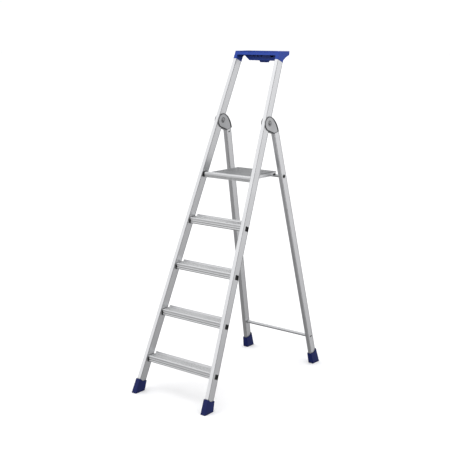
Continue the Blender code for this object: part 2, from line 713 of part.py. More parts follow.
def oval_shape(rail, along, length, height, grow, span):
    """A bar across a leg with a round-ended section, longest through the leg's depth."""
    middle = LEG_FRONT + OVAL_BACK
    radius = height / 2 + grow
    reach = length / 2 - height / 2
    outline = []
    for start, shift in ((-90, reach), (90, -reach)):
        for i in range(7):
            angle = math.radians(start + 30 * i)
            outline.append((middle + shift + radius * math.cos(angle), along + radius * math.sin(angle)))
    return loft([[rail.at(u, t, s) for t, s in outline] for u in span])


def add_rear_foot(name, side, materials, axis):
    rail = leg_rail(side)
    walls = (FOOT_SIDE_WALL, REAR_FOOT_FRONT_WALL, REAR_FOOT_BACK_WALL)
    top_walls = (FOOT_TOP_WALL, FOOT_TOP_WALL, FOOT_TOP_WALL)
    tops = (REAR_FOOT_TOP_FRONT, REAR_FOOT_TOP_BACK)
    shape = foot_shape(rail, walls, top_walls, LEG_WIDTH, LEG_DEPTH, LEG_FRONT, tops)
    origin = rail.at(0, LEG_FRONT, leg_end(rail))
    foot = add_part("rear_foot_" + name, shape, materials["foot"], origin, axis)
    pocket = rectangle((-LEG_WIDTH - GAP, LEG_FRONT - GAP), (GAP, LEG_FRONT + LEG_DEPTH + GAP))
    cut(foot, on_rail(rail, pocket, leg_end(rail) + GAP, REAR_FOOT_TOP_BACK - 0.03))


def housing_outline(inset):
    """The housing's side outline about the pivot, as (t, s) of the leg: a disc, then a long back curve."""
    points = []
    for i in range(13):
        angle = math.radians(35 + 145 * i / 12)
        radius = HOUSING_ROUND - inset
        t = -HOUSING_ROUND_FRONT - radius * math.sin(angle)
        points.append((t, HOUSING_ROUND_DOWN + radius * math.cos(angle)))
    long_axis = HOUSING_END + HOUSING_ROUND - HOUSING_ROUND_DOWN + 0.004
    centre = HOUSING_END + 0.004
    for i in range(1, 13):
        s = centre - (long_axis - inset) * math.cos(math.radians(86.7 * i / 12))
        share = (centre - s) / (long_axis - inset)
        t = -HOUSING_ROUND_FRONT + (HOUSING_BACK_REACH - inset) * math.sqrt(1 - share * share)
        points.append((t, min(s, HOUSING_END - inset)))
    points.append((LEG_FRONT - 0.002 + inset, HOUSING_END - inset))
    return points


def housing_point(side, offset, t, s):
    """A point of the housing, whose cheeks lean in with the stile and the leg."""
    y = PIVOT.y + s * math.sin(LEG_LEAN) + t * math.cos(LEG_LEAN)
    z = PIVOT.z - s * math.cos(LEG_LEAN) + t * math.sin(LEG_LEAN)
    middle = STILE_HALF_AT_FLOOR - STILE_TAPER * PIVOT_ALONG_STILE - STILE_WIDTH / 2
    return Vector((side * (middle + offset - HOUSING_LEAN_IN * (z - PIVOT.z)), y, z))


def stile_slot_outline():
    """The space that the stile needs between the cheeks, folded and unfolded, as (t, s) of the leg."""
    clear = STILE_DEPTH - PIVOT_INTO_STILE + STILE_CLEARANCE
    fold = STILE_LEAN + LEG_LEAN
    corner = (clear, clear * math.tan(fold / 2))
    beyond = 0.12
    above = (corner[0] + beyond * math.sin(fold), corner[1] - beyond * math.cos(fold))
    return [corner, above, (-beyond, -beyond), (-beyond, beyond), (clear, beyond)]


def add_hinge_housing(name, side, materials, axis):
    """Two cheeks round the stile, a solid tail behind it and a tongue inside the leg."""
    layers = (
        (-HOUSING_HALF, HOUSING_RIM_INSET),
        (-HOUSING_HALF + HOUSING_RIM, 0.0),
        (HOUSING_HALF - HOUSING_RIM, 0.0),
        (HOUSING_HALF, HOUSING_RIM_INSET),
    )
    loops = [[housing_point(side, offset, t, s) for t, s in housing_outline(inset)] for offset, inset in layers]
    origin = housing_point(side, 0.0, 0.0, 0.0)
    housing = add_part("hinge_housing_" + name, loft(loops), materials["hinge"], origin, axis)
    slot_sides = (-HOUSING_SLOT_HALF, HOUSING_SLOT_HALF)
    slot = [[housing_point(side, x, t, s) for t, s in stile_slot_outline()] for x in slot_sides]
    cut(housing, loft(slot))
    cut(housing, pin_bore(side, PIVOT, PIN_RADIUS + GAP, 0.12, 0.185))
    rail = leg_rail(side)
    inside = LEG_WALL + GAP
    low = (inside - LEG_WIDTH, LEG_FRONT + inside)
    high = (-inside, LEG_FRONT + LEG_DEPTH - inside)
    tongue = rounded_rectangle(low, high, CORNER_RADIUS - inside)
    join(housing, on_rail(rail, tongue, HOUSING_END - 0.012, TONGUE_END))
    cut(housing, oval_shape(rail, LUG_ALONG, LUG_LENGTH, LUG_HEIGHT, GAP, (-LEG_WIDTH - 0.002, -LEG_WIDTH / 2)))


def add_housing_lug(name, side, materials, axis):
    """The oval peg that locks the tongue in the leg, pushed in from the inner side."""
    rail = leg_rail(side)
    span = (-LEG_WIDTH - PLUG_PROUD, -LEG_WIDTH / 2 - GAP)
    shape = oval_shape(rail, LUG_ALONG, LUG_LENGTH, LUG_HEIGHT, 0.0, span)
    origin = rail.at(-LEG_WIDTH, LEG_FRONT + OVAL_BACK, LUG_ALONG)
    add_part("housing_lug_" + name, shape, materials["black"], origin, axis)


def leg_face_x(centre, radius, inner):
    """The least distance of a leg's outer or inner face from the middle plane, round a cross tube."""
    rail = leg_rail(1)
    s = (centre.y - PIVOT.y) * math.sin(LEG_LEAN) - (centre.z - PIVOT.z) * math.cos(LEG_LEAN)
    return rail.half + rail.spread * (s - radius) - (LEG_WIDTH if inner else 0.0)


def add_upper_tube(materials, axis):
    reach = leg_face_x(UPPER_TUBE, UPPER_TUBE_RADIUS, False)
    shape = bored_tube(UPPER_TUBE, -reach, reach, UPPER_TUBE_RADIUS, UPPER_TUBE_RADIUS - TUBE_WALL)
    add_part("cross_tube_upper", shape, materials["aluminium"], UPPER_TUBE, axis)
    seat = reach + 2 * LEG_SPREAD * PLUG_HEAD_RADIUS + GAP
    spigot = UPPER_TUBE_RADIUS - TUBE_WALL - GAP
    for name, side in SIDES.items():
        stations = [(reach - PLUG_SPIGOT, spigot), (seat, spigot), (seat, PLUG_HEAD_RADIUS)]
        stations += [(seat + PLUG_HEAD_THICKNESS, PLUG_HEAD_RADIUS)]
        shape = turned(UPPER_TUBE, [(side * x, radius) for x, radius in stations])
        origin = (side * reach, UPPER_TUBE.y, UPPER_TUBE.z)
        add_part("cross_tube_plug_" + name, shape, materials["black"], origin, axis)


def add_lower_tube(materials, axis):
    """The lower crossbar between the legs, held by an oval pin through each leg."""
    reach = leg_face_x(LOWER_TUBE, LOWER_TUBE_RADIUS, True) - GAP
    shape = bored_tube(LOWER_TUBE, -reach, reach, LOWER_TUBE_RADIUS, LOWER_TUBE_RADIUS - TUBE_WALL)
    add_part("crossbar_lower", shape, materials["aluminium"], LOWER_TUBE, axis)
    spigot = LOWER_TUBE_RADIUS - TUBE_WALL - GAP
    collar = leg_face_x(LOWER_TUBE, 0.0, True) - GAP
    for name, side in SIDES.items():
        rail = leg_rail(side)
        shape = turned(LOWER_TUBE, [(side * (reach - PLUG_SPIGOT), spigot), (side * (reach + GAP / 2), spigot)])
        origin = (side * collar, LOWER_TUBE.y, LOWER_TUBE.z)
        pin = add_part("crossbar_pin_" + name, shape, materials["black"], origin, axis)
        neck = (-LEG_WIDTH - 0.006, -LEG_WIDTH + 0.001)
        bar = (-LEG_WIDTH + GAP, PLUG_PROUD)
        narrow = 2 * spigot - 0.001
        join(pin, oval_shape(rail, LOWER_TUBE_ALONG, narrow, OVAL_HEIGHT, 0.0, neck))
        join(pin, oval_shape(rail, LOWER_TUBE_ALONG, OVAL_LENGTH, OVAL_HEIGHT, 0.0, bar))


# ---- Platform ----


def nosing_outline():
    """Side outline of the platform's front section: a round top edge and a ribbed face."""
    y, z = PLATFORM_Y, PLATFORM_Z
    low = z - NOSING_HEIGHT
    points = [(y, low)]
    for height in (0.005, 0.009, 0.013):
        points += [(y, low + height), (y + TREAD_RIB, low + height + 0.0004)]
        points += [(y + TREAD_RIB, low + height + 0.0014), (y, low + height + 0.0018)]
    for i in range(5):
        angle = math.radians(180 - 22.5 * i)
        radius = TREAD_NOSE_RADIUS
        points.append((y + radius + radius * math.cos(angle), z - radius + radius * math.sin(angle)))
    points += [(y + NOSING_DEPTH, z), (y + NOSING_DEPTH, z - 0.019), (y + 0.013, low)]
    return points


def add_nosing(materials, axis):
    shape = across(nosing_outline(), -NOSING_HALF, NOSING_HALF)
    nosing = add_part("platform_nosing", shape, materials["tread"], PLATFORM_PIVOT, axis)
    cut(nosing, pin_bore(1, PLATFORM_PIVOT, PLATFORM_PIN_RADIUS + GAP, -0.16, 0.16))
    low = (-0.16, PLATFORM_Y + 0.0035, PLATFORM_Z - 0.0080)
    cut(nosing, block(low, (0.16, PLATFORM_Y + NOSING_DEPTH - 0.002, PLATFORM_Z - 0.0022)))


def add_deck(materials, axis):
    """The ribbed plate behind the nosing, with a flange down each side and a short one at the back."""
    front, back = PLATFORM_Y + NOSING_DEPTH + GAP, PLATFORM_Y + PLATFORM_DEPTH
    top, under = PLATFORM_Z, PLATFORM_Z - DECK_SKIN - DECK_RIB
    rear_low = PLATFORM_Z - DECK_REAR_HEIGHT
    outline = [(front, top)] + ribbed_line(front, back, DECK_RIB_PITCH, DECK_RIB, top)
    outline += [(back, top), (back, rear_low), (back - 0.002, rear_low), (back - 0.002, under), (front, under)]
    shape = across(outline, -DECK_HALF, DECK_HALF)
    deck = add_part("platform_deck", shape, materials["deck"], PLATFORM_PIVOT, axis)
    for side in SIDES.values():
        low = (side * (DECK_HALF - 0.002), front, top - DECK_SIDE_HEIGHT)
        high = (side * DECK_HALF, PLATFORM_Y + DECK_SIDE_BACK, under + 0.001)
        join(deck, block(low, high))


def hook_outline():
    """A saddle over the cross tube with a lip behind it, open to the front and below."""
    top = PLATFORM_Z - DECK_SKIN - DECK_RIB - GAP
    back = UPPER_TUBE.y + UPPER_TUBE_RADIUS + HOOK_REACH
    rear_flange = PLATFORM_Y + PLATFORM_DEPTH - 0.002 - GAP
    points = [(UPPER_TUBE.y - 0.022, top), (UPPER_TUBE.y - 0.022, top - 0.0035)]
    radius = UPPER_TUBE_RADIUS + GAP
    for i in range(7):
        angle = math.radians(100 - 18 * i)
        points.append((UPPER_TUBE.y + radius * math.cos(angle), UPPER_TUBE.z + radius * math.sin(angle)))
    low = PLATFORM_Z - DECK_REAR_HEIGHT - GAP
    points += [(back - 0.001, UPPER_TUBE.z - 0.004), (back, UPPER_TUBE.z - 0.001), (back, low)]
    points += [(rear_flange, low), (rear_flange, top)]
    return points


def add_hook(name, side, materials, axis):
    centre = side * HOOK_CENTRE
    shape = across(hook_outline(), centre - HOOK_HALF, centre + HOOK_HALF)
    add_part("platform_hook_" + name, shape, materials["black"], (centre, UPPER_TUBE.y, UPPER_TUBE.z), axis)


def main():
    for old in list(bpy.data.objects):
        bpy.data.objects.remove(old)
    materials = make_materials()
    for name, side in SIDES.items():
        add_stile(name, side, materials)
        add_front_foot(name, side, materials)
        add_tray_screw(name, side, materials)
        add_hinge_pin(name, side, materials)
        add_hinge_bush(name, side, materials)
        add_platform_bearing(name, side, materials)
        add_platform_pin(name, side, materials)
    for number in range(TREAD_COUNT):
        add_tread(number, materials)
        for name, side in SIDES.items():
            add_tread_bracket(number, name, side, materials)
    add_tray(materials)

    fold_axis = add_axis("rear_fold_axis", PIVOT)
    for name, side in SIDES.items():
        add_rear_leg(name, side, materials, fold_axis)
        add_rear_foot(name, side, materials, fold_axis)
        add_hinge_housing(name, side, materials, fold_axis)
        add_housing_lug(name, side, materials, fold_axis)
    add_upper_tube(materials, fold_axis)
    add_lower_tube(materials, fold_axis)

    platform_axis = add_axis("platform_axis", PLATFORM_PIVOT)
    add_nosing(materials, platform_axis)
    add_deck(materials, platform_axis)
    for name, side in SIDES.items():
        add_hook(name, side, materials, platform_axis)


main()
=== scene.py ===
"""Looks of the folding step ladder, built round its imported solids.

Metres, +Z up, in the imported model's own frame. The camera stands in front of the ladder, on its right.
"""

import json
import math

import bmesh
import bpy
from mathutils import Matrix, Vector


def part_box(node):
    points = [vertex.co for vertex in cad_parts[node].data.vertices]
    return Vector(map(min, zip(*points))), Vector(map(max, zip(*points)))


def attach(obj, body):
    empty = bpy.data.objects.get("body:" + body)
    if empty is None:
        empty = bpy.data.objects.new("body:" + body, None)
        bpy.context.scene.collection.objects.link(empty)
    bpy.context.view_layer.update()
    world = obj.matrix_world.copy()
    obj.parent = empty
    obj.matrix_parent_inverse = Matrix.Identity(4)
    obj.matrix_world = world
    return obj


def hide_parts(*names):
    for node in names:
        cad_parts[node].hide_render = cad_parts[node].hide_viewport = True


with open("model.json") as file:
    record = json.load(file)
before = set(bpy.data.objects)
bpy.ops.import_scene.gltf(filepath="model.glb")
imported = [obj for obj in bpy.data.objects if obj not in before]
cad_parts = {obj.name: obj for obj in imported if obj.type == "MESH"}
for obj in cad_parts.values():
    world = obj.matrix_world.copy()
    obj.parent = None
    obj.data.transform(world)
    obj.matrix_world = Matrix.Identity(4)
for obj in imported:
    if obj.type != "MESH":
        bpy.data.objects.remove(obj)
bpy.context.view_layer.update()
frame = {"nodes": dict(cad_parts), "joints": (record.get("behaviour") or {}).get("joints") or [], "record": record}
scene = bpy.context.scene

SIDES = {"left": -1, "right": 1}
GAP = 0.0003
JOINT_AT = {joint["name"]: Vector(joint["pos_m"]) for joint in frame["joints"]}
PIVOT = JOINT_AT["rear_fold"]
PLATFORM_PIVOT = JOINT_AT["platform_tip"]
BODY_OF = {node: body for body, nodes in frame["record"]["behaviour"]["bodies"].items() for node in nodes}
SLOT_OF = {row["node"]: row["material_slot"] for row in frame["record"]["subparts"]}

# Camera
CAMERA_AT = (3.0208, -3.8180, 1.8336)
CAMERA_AZIMUTH = math.radians(38.65)
CAMERA_ELEVATION = math.radians(11.59)
CAMERA_LENS = 75.81
SENSOR = 36.0

# Brightness of the studio by direction, from straight down (-1) to straight up (1)
STUDIO_LEVELS = (
    (-1.0, 0.22),
    (-0.55, 0.25),
    (-0.44, 0.33),
    (-0.34, 0.47),
    (-0.24, 0.64),
    (-0.14, 0.77),
    (-0.02, 1.02),
    (0.5, 1.06),
    (1.0, 1.2),
)
FLOOR_REACH = 60.0
KEY_AT = Vector((-1.2, -1.6, 5.4))
KEY_AIM = Vector((0.0, 0.0, 0.7))
KEY_SIZE = 3.0
KEY_POWER = 24

# Stiles
STILE_LEAN = math.radians(22.9)
STILE_HALF_AT_FLOOR = 0.2421
STILE_TAPER = 0.0527
STILE_WIDTH = 0.020
STILE_DEPTH = 0.050
STILE_BOTTOM = 0.032
STILE_TOP = 1.834
PIVOT_ALONG_STILE = 1.501
PIVOT_INTO_STILE = 0.037
STILE_SECTION = (STILE_WIDTH, 0.0, STILE_DEPTH)
HINGE_MIDDLE = STILE_HALF_AT_FLOOR - STILE_TAPER * PIVOT_ALONG_STILE - STILE_WIDTH / 2
WALL = 0.0015
CORNER_RADIUS = 0.003

# Extruded grooves in the sides of stiles and legs
GROOVE_EDGE = 0.0034
GROOVE_WIDTH = 0.0022
GROOVE_DEPTH = 0.0013
GROOVE_WALL = 0.0009

# Rear legs
LEG_LEAN = math.radians(12.6)
LEG_HALF_AT_PIVOT = 0.1657
LEG_SPREAD = 0.0537
LEG_WIDTH = 0.021
LEG_DEPTH = 0.045
LEG_FRONT = 0.0248
LEG_TOP = 0.063
LEG_END_ABOVE_FLOOR = 0.034
LEG_SECTION = (LEG_WIDTH, LEG_FRONT, LEG_DEPTH)
THROUGH_LEG = ((-LEG_WIDTH - 0.002, 0.0), (0.002, 0.0))
INTO_LEG = ((-LEG_WIDTH - 0.002, 0.0), (-LEG_WIDTH / 2, 0.0))

# Treads and their brackets
TREAD_PITCH = 0.250
FIRST_TREAD = 0.200
TREAD_COUNT = 4
TREAD_SETBACK = 0.010
TREAD_DEPTH = 0.062
TREAD_HEIGHT = 0.0325
TREAD_REAR_HEIGHT = 0.018
TREAD_SKIN = 0.002
UPSTAND = 0.0085
UPSTAND_WALL = 0.0028
UPSTAND_FILLET = 0.0065
UPSTAND_SLOPE = 0.005
# Points of a tread's front wall, from its lower front corner
TREAD_FRONT = ((0.006, 0), (0.0042, 0), (0.0006, 0.0046), (0, 0.0054), (0.0014, 0.0106), (0.0034, 0.011))
TREAD_FRONT += ((0.0034, 0.0156), (0, 0.0162), (0.0012, 0.0214), (0.0004, 0.0222))
RIB_PITCH = 0.0030
RIB_DEPTH = 0.0008
FLANGE = 0.006
FLANGE_TOP = 0.009
PLUG_SIZE = 0.025
PLUG_CORNER = 0.003
PLUG_BELOW_TREAD = 0.008
PLUG_DEPTH_CENTRE = 0.032
PLUG_PROUD = 0.0005

# Hinge
HOUSING_HALF = 0.0155
HOUSING_SLOT_HALF = 0.011
HOUSING_LEAN_IN = 0.051
HOUSING_ROUND = 0.037
HOUSING_SHIFT = 0.002
HOUSING_BACK_REACH = 0.0718
HOUSING_END = 0.0627
TONGUE_END = 0.097
PIN_RADIUS = 0.004
PIN_HEAD_RADIUS = 0.0085

# Each station of a housing: offset of half a cheek's thickness, inset all round, more inset at the back
HOUSING_STATIONS = (
    (HOUSING_HALF - 0.0042, 0.0, 0.0),
    (HOUSING_HALF - 0.0026, 0.0004, 0.0002),
    (HOUSING_HALF - 0.0016, 0.0014, 0.0024),
    (HOUSING_HALF - 0.0012, 0.0022, 0.0085),
    (HOUSING_HALF - 0.0018, 0.0028, 0.0095),
    (HOUSING_HALF - 0.0006, 0.0038, 0.0110),
    (HOUSING_HALF, 0.0060, 0.0150),
)
# A cheek's rim, painted near-black as shade: the faces between these offsets
HOUSING_SHADED_RIM = (HOUSING_HALF - 0.0030, HOUSING_HALF - 0.0009)

# Feet
FOOT_TOP = 0.0765
REAR_FOOT_TOPS = (1.3467, 1.3367)
FOOT_CORNER = 0.0035
# Each station of a foot: share of its height, inset all round
FOOT_STATIONS = ((0, 0.0016), (0.02, 0), (0.13, 0), (0.142, 0.0009), (0.162, 0.0009), (0.174, 0), (1, 0))
SCALLOP_RADIUS = 0.0293
SCALLOP_DEPTH = 0.007
SOLE_PITCH = 0.007
SOLE_GROOVE = 0.0022

# Pins, plugs and cross tubes of the rear frame
LUG_ALONG = 0.0795
LUG_OVAL = (0.016, 0.0045)
CROSSBAR_OVAL = (0.020, 0.0055)
OVAL_BACK = 0.025
UPPER_RADIUS = 0.008
LOWER_RADIUS = 0.0085
TUBE_WALL = 0.0012

# Platform
DECK_SKIN = 0.0029
PLATFORM_BORE = 0.004

# Tool tray
TRAY_TOP = 1.729
BAND_LOW = 1.709
TRAY_REAR = 0.825
BIN_FRONT = 0.770
BIN_TOP_HALF = 0.1225
BIN_FLOOR_HALF = 0.083
BIN_FLOOR = 1.679
RECESS_HALF = 0.112
HOLE_RADIUS = 0.0042
RIB_BAYS = 6
RIB_WALL = 0.0015
TRAY_ROUND = 0.0012
HOLDER_DEPTH = 0.017
SCREW_ALONG = 1.818


# ---- Camera, world and floor ----


def add_object(name, data):
    made = bpy.data.objects.new(name, data)
    scene.collection.objects.link(made)
    return made


def add_camera():
    data = bpy.data.cameras.new("camera")
    data.lens = CAMERA_LENS
    data.sensor_width = SENSOR
    camera = add_object("camera", data)
    camera.location = CAMERA_AT
    camera.rotation_euler = (math.pi / 2 - CAMERA_ELEVATION, 0.0, CAMERA_AZIMUTH)
    scene.camera = camera


def add_world():
    """A bright studio above the horizon that fades to a dim one below it, which the metal mirrors."""
    world = bpy.data.worlds.new("studio")
    world.use_nodes = True
    nodes, links = world.node_tree.nodes, world.node_tree.links
    coordinate = nodes.new("ShaderNodeTexCoord")
    split = nodes.new("ShaderNodeSeparateXYZ")
    spread = nodes.new("ShaderNodeMapRange")
    spread.inputs["From Min"].default_value = -1.0
    ramp = nodes.new("ShaderNodeValToRGB")
    while len(ramp.color_ramp.elements) < len(STUDIO_LEVELS):
        ramp.color_ramp.elements.new(0.5)
    for element, (height, level) in zip(ramp.color_ramp.elements, STUDIO_LEVELS):
        element.position = (height + 1) / 2
        element.color = (level, level, level * 1.01, 1.0)
    links.new(coordinate.outputs["Generated"], split.inputs[0])
    links.new(split.outputs["Z"], spread.inputs["Value"])
    links.new(spread.outputs["Result"], ramp.inputs["Fac"])
    links.new(ramp.outputs["Color"], nodes["Background"].inputs["Color"])
    scene.world = world


def add_key_light():
    data = bpy.data.lights.new("key", "AREA")
    data.shape = "DISK"
    data.size = KEY_SIZE
    data.energy = KEY_POWER
    light = add_object("key", data)
    light.location = KEY_AT
    light.rotation_euler = (KEY_AIM - KEY_AT).to_track_quat("-Z", "Y").to_euler()


def add_stage():
    scene.view_settings.view_transform = "Standard"
    add_world()
    add_key_light()
    mesh = bpy.data.meshes.new("floor")
    corners = rectangle((-FLOOR_REACH, -FLOOR_REACH), (FLOOR_REACH, FLOOR_REACH))
    mesh.from_pydata([(x, y, 0) for x, y in corners], [], [(0, 1, 2, 3)])
    floor = add_object("floor", mesh)
    material = bpy.data.materials.new("pale_floor")
    material.use_nodes = True
    shader = material.node_tree.nodes["Principled BSDF"]
    shader.inputs["Base Color"].default_value = (0.97, 0.97, 0.97, 1.0)
    shader.inputs["Roughness"].default_value = 1.0
    shader.inputs["Specular IOR Level"].default_value = 0.0
    shader.inputs["Emission Color"].default_value = (1.0, 1.0, 1.0, 1.0)
    shader.inputs["Emission Strength"].default_value = 0.06
    mesh.materials.append(material)
    floor.visible_diffuse = False
    floor.visible_glossy = False


# ---- Materials ----


class Shader:
    """A Principled material and the few nodes that its detail is made of."""

    def __init__(self, name, metallic, specular=0.5):
        self.material = bpy.data.materials.new(name)
        self.material.use_nodes = True
        self.nodes = self.material.node_tree.nodes
        self.links = self.material.node_tree.links
        self.shader = self.nodes["Principled BSDF"]
        self.shader.inputs["Metallic"].default_value = metallic
        self.shader.inputs["Specular IOR Level"].default_value = specular
        self.coordinate = self.nodes.new("ShaderNodeTexCoord").outputs["Object"]

    def node(self, kind, **inputs):
        made = self.nodes.new(kind)
        for key, value in inputs.items():
            name = key.replace("_", " ")
            if isinstance(value, bpy.types.NodeSocket):
                self.links.new(value, made.inputs[name])
            else:
                made.inputs[name].default_value = value
        return made

    def mapped(self, scale, turn=0.0):
        """Object coordinates turned about X, then scaled, so that noise stretches along a slanted rail."""
        turned = self.node("ShaderNodeMapping", Vector=self.coordinate, Rotation=(turn, 0.0, 0.0))
        return self.node("ShaderNodeMapping", Vector=turned.outputs[0], Scale=scale).outputs[0]

    def noise(self, vector, detail=3.0, roughness=0.5):
        made = self.node("ShaderNodeTexNoise", Vector=vector, Scale=1.0, Detail=detail, Roughness=roughness)
        return made.outputs["Fac"]

    def spread(self, value, low, high, start=0.3, end=0.7):
        """The share of value between start and end, mapped to low and high."""
        ends = {"From_Min": start, "From_Max": end, "To_Min": low, "To_Max": high}
        return self.node("ShaderNodeMapRange", Value=value, **ends).outputs["Result"]

    def blend(self, share, first, second, kind="MIX"):
        made = self.nodes.new("ShaderNodeMix")
        made.data_type = "RGBA"
        made.blend_type = kind
        for socket, value in ((made.inputs[0], share), (made.inputs[6], first), (made.inputs[7], second)):
            if isinstance(value, bpy.types.NodeSocket):
                self.links.new(value, socket)
            elif socket.type == "RGBA":
                socket.default_value = (*value, 1.0)
            else:
                socket.default_value = value
        return made.outputs[2]

    def painted_hollow_shade(self, reach, least):
        """Painted shade: a grey that is 1 on open faces and falls to least deep in grooves and corners."""
        made = self.node("ShaderNodeAmbientOcclusion", Distance=reach)
        made.samples = 4
        return self.spread(made.outputs["AO"], least, 1.0, 0.35, 0.95)

    def worn_edges(self, radius):
        """1 on sharp outer edges, 0 on flat faces."""
        bevel = self.node("ShaderNodeBevel", Radius=radius)
        bevel.samples = 4
        geometry = self.nodes.new("ShaderNodeNewGeometry")
        product = self.nodes.new("ShaderNodeVectorMath")
        product.operation = "DOT_PRODUCT"
        self.links.new(bevel.outputs["Normal"], product.inputs[0])
        self.links.new(geometry.outputs["Normal"], product.inputs[1])
        return self.spread(product.outputs["Value"], 1.0, 0.0, 0.80, 0.98)

    def bump(self, height, strength, distance):
        made = self.node("ShaderNodeBump", Height=height, Strength=strength, Distance=distance)
        return made.outputs["Normal"]

    def finish(self, colour, roughness, normal):
        self.links.new(colour, self.shader.inputs["Base Color"])
        self.links.new(roughness, self.shader.inputs["Roughness"])
        self.links.new(normal, self.shader.inputs["Normal"])
        return self.material


def drawn_metal(name, colour, roughness, stretch, turn=0.0, hollow_shade=0.35, anisotropic=0.3):
    """Drawn or rolled metal: fine lines along its length, blotches, painted shade in grooves and polished edges.
    """
    made = Shader(name, 1.0)
    made.shader.inputs["Anisotropic"].default_value = anisotropic
    lines = made.noise(made.mapped(stretch, turn), 4.0, 0.6)
    blotches = made.noise(made.mapped((9.0, 9.0, 9.0)), 2.0)
    specks = made.noise(made.mapped((420.0, 420.0, 420.0)), 2.0)
    dark = tuple(part * 0.90 for part in colour)
    light = tuple(min(1.0, part * 1.06) for part in colour)
    tone = made.blend(made.spread(lines, 0.0, 1.0), dark, light)
    tone = made.blend(made.spread(blotches, 0.0, 0.35), tone, tuple(part * 0.93 for part in colour))
    tone = made.blend(made.spread(made.worn_edges(0.0012), 0.0, 0.5, 0.0, 1.0), tone, light)
    # Painted shade: darkens the colour in grooves and corners.
    tone = made.blend(1.0, tone, made.painted_hollow_shade(0.006, hollow_shade), "MULTIPLY")
    streaks = made.spread(lines, roughness - 0.06, roughness + 0.06)
    gloss = made.blend(0.5, streaks, made.spread(specks, roughness - 0.05, roughness + 0.05))
    return made.finish(tone, gloss, made.bump(lines, 0.12, 0.0002))


def moulded_plastic(name, colour, roughness, grain, edge, reach, hollow_shade, specular):
    """Moulded plastic: a fine grain, faint mottling, scuffed edges and painted shade in hollows."""
    made = Shader(name, 0.0, specular)
    pebbles = made.noise(made.mapped((grain, grain, grain)), 2.0)
    clouds = made.noise(made.mapped((14.0, 14.0, 14.0)), 3.0)
    scuffs = made.noise(made.mapped((160.0, 160.0, 60.0)), 4.0, 0.7)
    dark, light = (tuple(part * factor for part in colour) for factor in (0.90, 1.10))
    tone = made.blend(made.spread(clouds, 0.0, 1.0), dark, light)
    wear = made.nodes.new("ShaderNodeMath")
    wear.operation = "MULTIPLY"
    made.links.new(made.worn_edges(0.0010), wear.inputs[0])
    made.links.new(made.spread(scuffs, 0.0, 0.8, 0.42, 0.62), wear.inputs[1])
    tone = made.blend(wear.outputs[0], tone, edge)
    # Painted shade: darkens the colour in hollows and corners.
    tone = made.blend(1.0, tone, made.painted_hollow_shade(reach, hollow_shade), "MULTIPLY")
    gloss = made.spread(scuffs, roughness - 0.05, roughness + 0.08)
    return made.finish(tone, gloss, made.bump(pebbles, 0.25, 0.00015))


RAIL = (0.76, 0.765, 0.775)
ALONG_RAIL = (1400.0, 1400.0, 5.0)
ALONG_DEPTH = (1400.0, 5.0, 1400.0)
ACROSS_FINE = (5.0, 1400.0, 1400.0)
ACROSS = (5.0, 1200.0, 1200.0)
ALL_WAYS = (300.0, 300.0, 300.0)
RIM_SCUFF = (0.14, 0.14, 0.15)

# Each metal: name, colour, roughness, stretch of its lines, their turn, least brightness of the painted shade in
# grooves, anisotropy
METALS = {
    "stile": ("extruded_aluminium_stile", RAIL, 0.34, ALONG_RAIL, STILE_LEAN, 0.20),
    "leg": ("extruded_aluminium_leg", RAIL, 0.34, ALONG_RAIL, -LEG_LEAN, 0.20),
    "flange": ("folded_aluminium_flange", (0.88, 0.885, 0.895), 0.34, ALONG_DEPTH),
    # Painted shade: the tubes' aluminium is coloured darker than the rails'.
    "tube": ("drawn_aluminium_tube_painted_shade", (0.56, 0.565, 0.575), 0.26, ACROSS_FINE),
    "tread_aluminium": ("ribbed_tread_aluminium", (0.70, 0.705, 0.71), 0.38, ACROSS, 0.0, 0.28),
    "deck_aluminium": ("ribbed_deck_aluminium", (0.31, 0.315, 0.32), 0.46, ACROSS),
    "rivet_steel": ("dark_rivet_steel", (0.30, 0.30, 0.305), 0.40, ALL_WAYS, 0.0, 0.2, 0.0),
    "zinc_steel": ("zinc_plated_steel", (0.58, 0.58, 0.59), 0.28, ALL_WAYS, 0.0, 0.3, 0.0),
}

# Each plastic: name, colour, roughness, grain, scuff colour, reach of the painted shade in hollows, least
# brightness there, specular
PLASTICS = {
    "tray_blue": ("tray_plastic", (0.011, 0.052, 0.36), 0.42, 2600.0, (0.05, 0.12, 0.42), 0.03, 0.25, 0.3),
    "foot_blue": ("foot_plastic", (0.003, 0.01, 0.095), 0.5, 2200.0, (0.04, 0.06, 0.18), 0.012, 0.4, 0.25),
    "hinge_grey": ("hinge_plastic", (0.5, 0.505, 0.515), 0.36, 2400.0, (0.65, 0.65, 0.66), 0.006, 0.45, 0.5),
    # Near-black plastic for the hinge cheeks' rims: painted shade.
    "painted_shade_rim": ("hinge_plastic_painted_rim_shade", (0.04, 0.041, 0.044), 0.42, 2400.0, RIM_SCUFF, 0.006, 0.3, 0.25),
    "hook_grey": ("hook_plastic", (0.1, 0.1, 0.102), 0.5, 2400.0, (0.2, 0.2, 0.2), 0.012, 0.5, 0.3),
    "black_plastic": ("black_plastic", (0.007,) * 3, 0.45, 2400.0, (0.04, 0.04, 0.04), 0.012, 0.6, 0.3),
}
MATERIALS = {key: drawn_metal(*values) for key, values in METALS.items()}
MATERIALS.update({key: moulded_plastic(*values) for key, values in PLASTICS.items()})


# ---- Shapes ----


class Rail:
    """A slanted member. u is measured outwards from its outer face, t backwards, s along it."""

    def __init__(self, side, base, along, back, half, spread):
        self.side, self.base, self.along, self.back = side, base, along, back
        self.half, self.spread = half, spread

    def at(self, u, t, s):
        y = self.base[0] + s * self.along[0] + t * self.back[0]
        z = self.base[1] + s * self.along[1] + t * self.back[1]
        return Vector((self.side * (self.half + self.spread * s + u), y, z))

    def along_to_height(self, t, height):
        return (height - self.base[1] - t * self.back[1]) / self.along[1]


